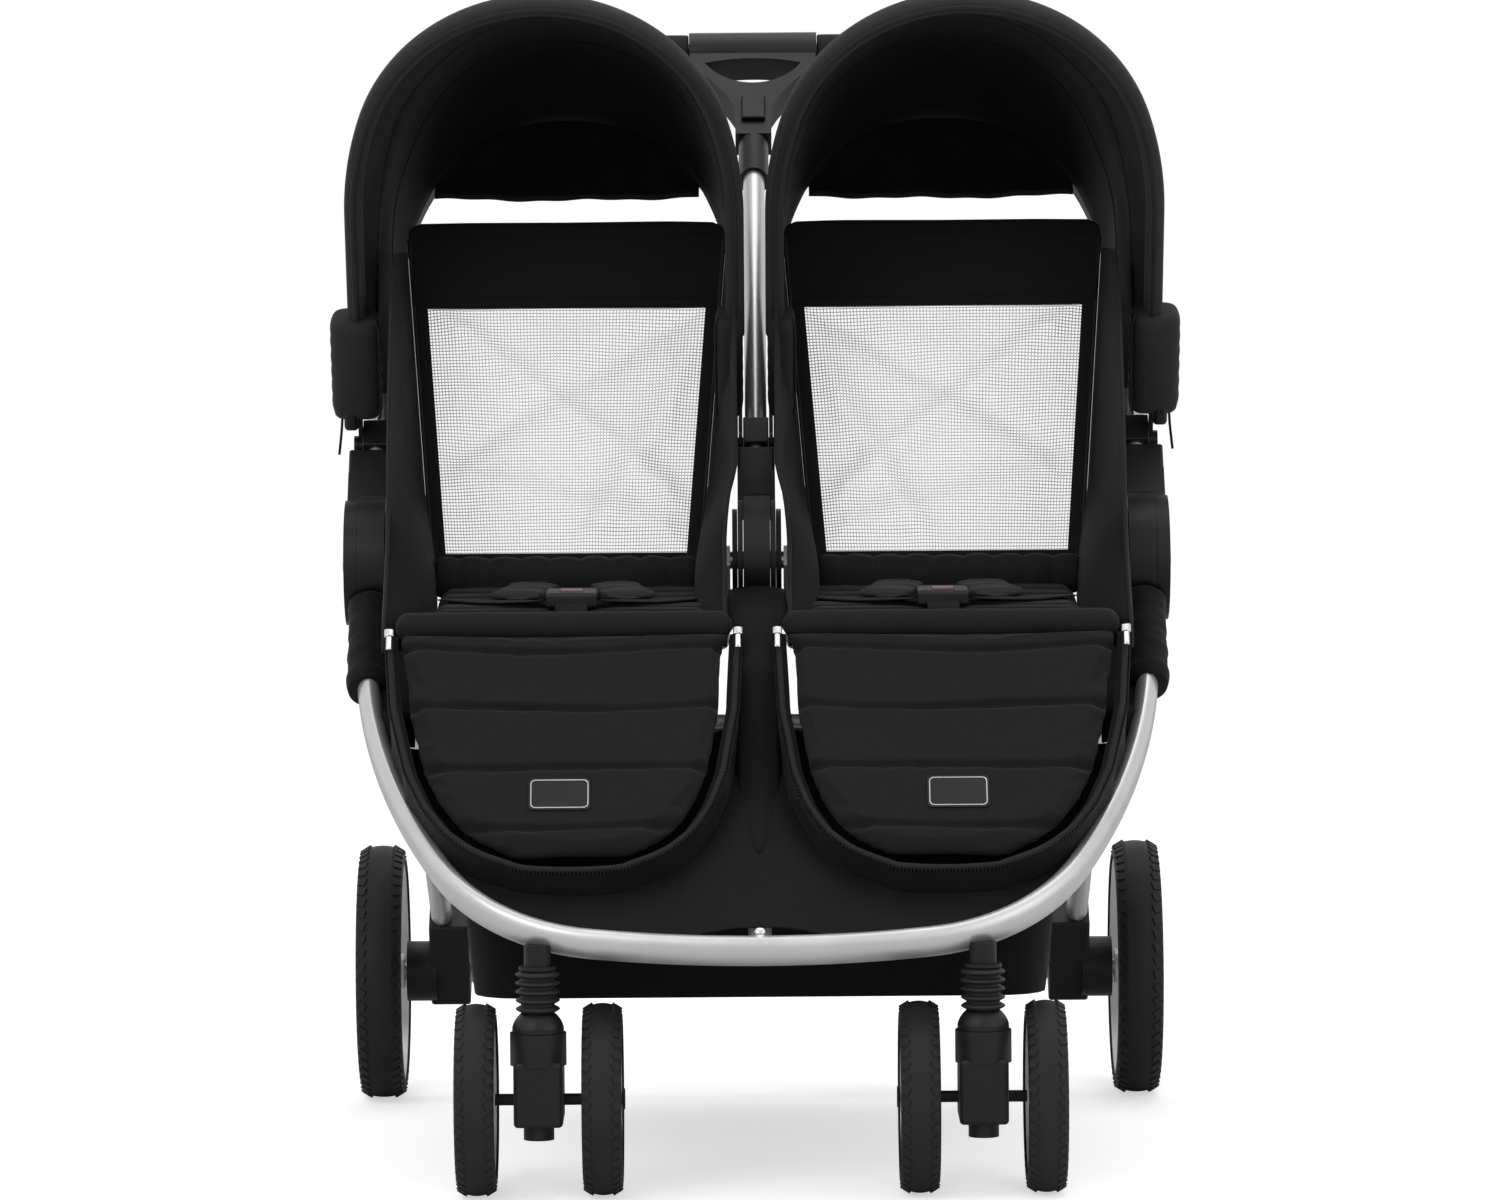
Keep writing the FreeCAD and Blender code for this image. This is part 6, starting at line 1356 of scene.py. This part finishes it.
def basketRing(half, front, rear, height, wave=0.0):
    corner = basketShape["corner"]
    centre, deep = (rear - front) / 2, (rear + front) / 2
    corners = ((half - corner, rear - corner, 0), (corner - half, rear - corner, 90),
               (corner - half, corner - front, 180), (half - corner, corner - front, 270))
    marks = []
    for cx, cy, first in corners:
        for step in range(9):
            turn = math.radians(first + step * 11.25)
            marks.append(Vector((cx + corner * math.cos(turn), cy + corner * math.sin(turn), height)))
    marks.append(marks[0].copy())
    ring = []
    for point in evenPath(marks, 121)[:-1]:
        across = max(0.0, min(1, abs(point.x) / half))
        middle = 1 - across if abs(point.y) > rear * 0.8 else 1 - abs(point.y - centre) / deep
        point.z -= wave * basketShape["dip"] * middle
        ring.append(point)
    return ring


def buildBasket():
    form = basketShape
    grid = []
    for i in range(15):
        share = i / 14
        sink = math.sin(math.pi * share) * form["slack"] * 0.2
        half = mix(form["half"], form["footHalf"], share) + sink
        front = mix(form["front"], form["frontFoot"], share) + sink
        rear = mix(form["rear"], form["rearFoot"], share)
        grid.append(basketRing(half, front, rear, mix(form["top"], form["floor"], share), wave=(1 - share) ** 2))
    for i in range(1, 12):
        scale = 1 - i / 11.4
        centre = (form["rearFoot"] - form["frontFoot"]) / 2
        ring = []
        for point in grid[14]:
            sag = form["sag"] * (1 - scale ** 2)
            sag += noise.noise(Vector((point.x * scale * 9, point.y * scale * 9, 5.5))) * form["wrinkle"]
            ring.append(Vector((point.x * scale, centre + (point.y - centre) * scale, form["floor"] - sag)))
        grid.append(ring)
    rows, cols = len(grid), len(grid[0])
    faces = []
    for i in range(rows - 1):
        for j in range(cols):
            faces.append((i * cols + j, i * cols + (j + 1) % cols, (i + 1) * cols + (j + 1) % cols,
                          (i + 1) * cols + j))
    faces.append(tuple((rows - 1) * cols + j for j in range(cols)))
    shell = settleNormals(makePiece("basket_cloth", [p for row in grid for p in row], faces, "panelCloth"))
    shell = withModifier(shell, "SOLIDIFY", thickness=form["thickness"], offset=0.0)
    onBody(shell, "front_frame", ["basket"])
    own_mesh(shell)
    hem = []
    ring = grid[0] + [grid[0][0]]
    for index in range(len(ring)):
        point = ring[index]
        along = (ring[(index + 1) % 120] - ring[(index - 1) % 120]).normalized()
        across = Vector((along.y, -along.x, 0)).normalized()
        hem.append([point + across * a + Vector((0, 0, b)) for a, b in ovalSection(*form["hem"], 10, 3.0)])
    edge = gridPiece("basket_hem", hem, "webbing", closed=True)
    onBody(edge, "front_frame")
    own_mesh(edge)


buildBasket()
print("stroller: basket")


# Harness: quilted shoulder pads and flat webbing that lie on the seats

harnessShape = {"width": 0.044, "length": 0.078, "thick": 0.009, "spacing": 0.044, "turn": 14.0, "place": 0.101,
                "strap": 0.0115, "strapThick": 0.0009, "lift": 0.0052, "crotchHalf": 0.014,
                "seams": ((0.5, 0.30, 0.035), (0.08, 0.25, 0.03), (0.92, 0.25, 0.03)),
                "rear": ((0.036, 0.040, 0.004), (0.040, 0.012, 0.006)),
                "fore": ((0.034, 0.150, 0.0052), (0.024, 0.162, 0.0075)),
                "waist": ((0.112, 0.120, 0.0014), (0.080, 0.146, 0.0024), (0.050, 0.158, 0.0042),
                          (0.024, 0.164, 0.0062)),
                "crotch": ((0, 0.180, 0.006), (0, 0.190, 0.0015), (0, 0.199, -0.006))}


def seatPoint(sign, x, along, high):
    pad = padShapes["seat"]
    origin, down, up = padFrame(pad)
    return Vector((sign * pad["x"] + x, origin.y, origin.z)) + up * high + down * along


def strapPoints(route, sign, hand):
    base = padShapes["seat"]["thickness"]
    return [seatPoint(sign, hand * x, along, base + lift) for x, along, lift in harnessShape[route]]


def buildHarness():
    cushions = {"left": [], "right": []}
    straps = {"left": [], "right": []}
    base = padShapes["seat"]["thickness"]
    for label, sign in sides:
        up = padFrame(padShapes["seat"])[2]
        for hand in (1, -1):
            turn = math.radians(harnessShape["turn"]) * hand
            centre = Vector((hand * harnessShape["spacing"], harnessShape["place"]))
            path = []
            for k in range(25):
                step = mix(-harnessShape["length"] / 2, harnessShape["length"] / 2, k / 24)
                high = base + harnessShape["lift"] + 0.0006 * math.sin(k * 0.7)
                path.append(seatPoint(sign, centre.x + math.sin(turn) * step, centre.y + math.cos(turn) * step, high))

            def section(share):
                end = min(share, 1 - share) / 0.10
                full = math.sqrt(max(0.05, 1 - (1 - min(1, end)) ** 2))
                seam = 1 - sum(deep * math.exp(-((share - place) / wide) ** 2) for place, deep,
                               wide in harnessShape["seams"])
                return ovalSection(harnessShape["width"] / 2 * (0.86 + 0.14 * full),
                                   harnessShape["thick"] / 2 * full * seam, 24, 3.0)

            cushions[label].append(sweepPiece("cushion", path, section, "rimCloth", side=(1, 0, 0)))
            rear = smoothPath([path[0] + up * 0.0005] + strapPoints("rear", sign, hand), 14)
            fore = smoothPath([path[-1]] + strapPoints("fore", sign, hand), 12)
            waist = smoothPath(strapPoints("waist", sign, hand), 20)
            for route, side in ((rear, (1, 0, 0)), (fore, (1, 0, 0)), (waist, (0, 1, 0))):
                straps[label].append(sweepPiece("strap", route,
                                                ovalSection(harnessShape["strap"], harnessShape["strapThick"], 12,
                                                            5.0), "webbing", side=side))
        crotch = smoothPath(strapPoints("crotch", sign, 1), 10)
        straps[label].append(sweepPiece("strap", crotch,
                                        ovalSection(harnessShape["crotchHalf"], harnessShape["strapThick"], 12, 5.0),
                                        "webbing", side=(1, 0, 0)))
    for label, sign in sides:
        for piece, name in zip(cushions[label], ("first", "second")):
            piece.name = "shoulder_pad_%s_%s" % (label, name)
            withModifier(piece, "SUBSURF", levels=1, render_levels=1)
            onBody(piece, "front_frame", ["harness_pads"])
        webbing = joined("harness_webbing_" + label, straps[label])
        onBody(webbing, "front_frame")


buildHarness()
print("stroller: harness")


# Rubber bellows over the front springs, foam sleeves on the handle

def revolved(name, profile, centre, axis, finish, turns=56, closed=True):
    axis = Vector(axis).normalized()
    first = axis.orthogonal().normalized()
    second = axis.cross(first)
    grid = []
    loop = profile + [profile[0]] if closed else profile
    for radius, along in loop:
        ring = []
        for k in range(turns):
            turn = 2 * math.pi * k / turns
            ring.append(centre + axis * along + (first * math.cos(turn) + second * math.sin(turn)) * radius)
        grid.append(ring)
    return gridPiece(name, grid, finish, closed=True, capped=not closed)


bellowsShape = {"x": 0.189, "y": -0.404, "top": 0.1968, "foot": 0.1602, "ribs": 5, "low": 0.0140, "high": 0.0190,
                "bore": 0.0122}


def buildBellows():
    form = bellowsShape
    for label, sign in sides:
        profile = []
        steps = form["ribs"] * 8
        for k in range(steps + 1):
            share = k / steps
            swell = 0.5 - 0.5 * math.cos(2 * math.pi * share * form["ribs"])
            profile.append((mix(form["low"], form["high"], swell ** 0.8), mix(form["foot"], form["top"], share)))
        profile += [(form["bore"], form["top"]), (form["bore"], form["foot"])]
        sleeve = revolved("bellows_" + label, profile, Vector((sign * form["x"], form["y"], 0)), (0, 0, 1),
                          "bellowsRubber")
        onBody(sleeve, "front_frame", ["bellows"])
        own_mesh(sleeve)


grip = {"start": 0.061, "length": 0.216, "bore": 0.0123, "lip": 0.0165, "shoulder": 0.0178, "radius": 0.0179,
        "swell": 0.0003, "round": 0.0012}


def buildGrips():
    for label, sign in sides:
        profile = [(grip["bore"], 0.0), (grip["lip"], 0.0), (grip["shoulder"], grip["round"])]
        for k in range(1, 40):
            share = k / 40
            profile.append((grip["radius"] + grip["swell"] * math.sin(share * math.pi), share * grip["length"]))
        profile += [(grip["shoulder"], grip["length"] - grip["round"]), (grip["lip"], grip["length"]),
                    (grip["bore"], grip["length"])]
        start = Vector((sign * grip["start"], gripCentre.y, gripCentre.z))
        sleeve = revolved("foam_sleeve_" + label, profile, start, (sign, 0, 0), "foam", turns=40)
        onBody(sleeve, "handlebar", ["handle_grips"])


buildBellows()
buildGrips()
print("stroller: bellows and grips")


# Tread lugs on the shoulders of the tyres, one ring of blocks each side of the crown

tread = {
    "rear": {"radius": 0.1175, "half": 0.0155, "count": 58, "size": (0.0022, 0.0074, 0.0088), "sink": 0.0030,
             "place": (0.3515, 0.24575, 0.1175)},
    "front": {"radius": 0.082, "half": 0.0125, "count": 46, "size": (0.0020, 0.0064, 0.0075), "sink": 0.0028,
              "place": (0.189, -0.374, 0.082), "apart": 0.054},
}


def treadRing(name, kind, sign, shift=0.0):
    form = tread[kind]
    x, y, z = form["place"]
    rings = []
    for side in (1, -1):
        start = makePiece("ring", [(0, 0, 0)], [], "tyreRubber")
        ring = applyTree(start, trees["ring"], {"Count": form["count"], "Radius": form["radius"] - form["sink"],
                                                "Size": form["size"],
                                               "Offset": side * form["half"], "Slant": side * 0.38,
                                               "Tilt": side * -0.55,
                                               "Finish": finishes["tyreRubber"]})
        ring.data.transform(Matrix.Translation((sign * (x + shift), y, z)) @ Matrix.Rotation(math.radians(90), 4,
                "Y"))
        rings.append(ring)
    piece = joined(name, rings)
    for face in piece.data.polygons:
        face.use_smooth = False
    return piece


def buildTreads():
    for label, sign in sides:
        onBody(treadRing("rear_tread_" + label, "rear", sign), "rear_wheel_" + label)
        for where, shift in (("outer", tread["front"]["apart"]), ("inner", -tread["front"]["apart"])):
            onBody(treadRing("front_tread_%s_%s" % (label, where), "front", sign, shift),
                   "front_wheel_%s_%s" % (label, where))


buildTreads()
print("stroller: treads")


# Stage: pale floor, white surroundings for the camera and for reflections, soft lamps

studio = {
    "ambient": 0.52, "floor": (0.86, 0.86, 0.86), "glow": 0.57,
    "lamps": {
        "keyLamp": {"power": 46.0, "size": 2.2, "place": (-2.2, -3.2, 2.9), "aim": (0, 0, 0.5)},
        "fillLamp": {"power": 22.0, "size": 2.6, "place": (2.8, -2.6, 1.6), "aim": (0, 0, 0.5)},
        "topLamp": {"power": 30.0, "size": 2.4, "place": (0.3, 0.4, 3.4), "aim": (0, 0, 0.4)},
    },
}


def buildStage():
    mesh = bpy.data.meshes.new("floor")
    mesh.from_pydata([(-30, -9, -0.0005), (30, -9, -0.0005), (30, 60, -0.0005), (-30, 60, -0.0005)], [],
                     [(0, 1, 2, 3)])
    floor = bpy.data.objects.new("floor", mesh)
    bpy.context.scene.collection.objects.link(floor)
    material, tree, shader, _ = newMaterial("floorPaper")
    shader.inputs["Base Color"].default_value = (*studio["floor"], 1)
    shader.inputs["Roughness"].default_value = 0.9
    shader.inputs["Specular IOR Level"].default_value = 0.0
    rays = tree.nodes.new("ShaderNodeLightPath")
    strength = mathNode(tree, "MULTIPLY", rays.outputs["Is Camera Ray"], studio["glow"])
    glow = addNode(tree, "ShaderNodeEmission", {"Color": (1, 1, 1, 1), "Strength": strength})
    both = addNode(tree, "ShaderNodeAddShader", {0: shader.outputs[0], 1: glow.outputs[0]})
    tree.links.new(both.outputs[0], tree.nodes["Material Output"].inputs["Surface"])
    mesh.materials.append(material)
    world = bpy.data.worlds.new("studio")
    world.use_nodes = True
    bpy.context.scene.world = world
    tree = world.node_tree
    seen = tree.nodes.new("ShaderNodeLightPath")
    white = mathNode(tree, "MAXIMUM", mathNode(tree, "MAXIMUM", seen.outputs["Is Camera Ray"],
                                               seen.outputs["Is Glossy Ray"]),
                     seen.outputs["Is Transmission Ray"])
    strength = addNode(tree, "ShaderNodeMapRange",
                       {"Value": white, "To Min": studio["ambient"], "To Max": 1.0}).outputs["Result"]
    background = tree.nodes["Background"]
    background.inputs["Color"].default_value = (1, 1, 1, 1)
    tree.links.new(strength, background.inputs["Strength"])
    for name, lampShape in studio["lamps"].items():
        lamp = bpy.data.lights.new(name, "AREA")
        lamp.energy = lampShape["power"]
        lamp.size = lampShape["size"]
        item = bpy.data.objects.new(name, lamp)
        item.location = lampShape["place"]
        item.rotation_euler = (Vector(lampShape["aim"]) - Vector(lampShape["place"])).to_track_quat("-Z",
                "Y").to_euler()
        bpy.context.scene.collection.objects.link(item)
    bpy.context.scene.view_settings.view_transform = "Standard"


buildStage()
print("stroller: stage and lamps")
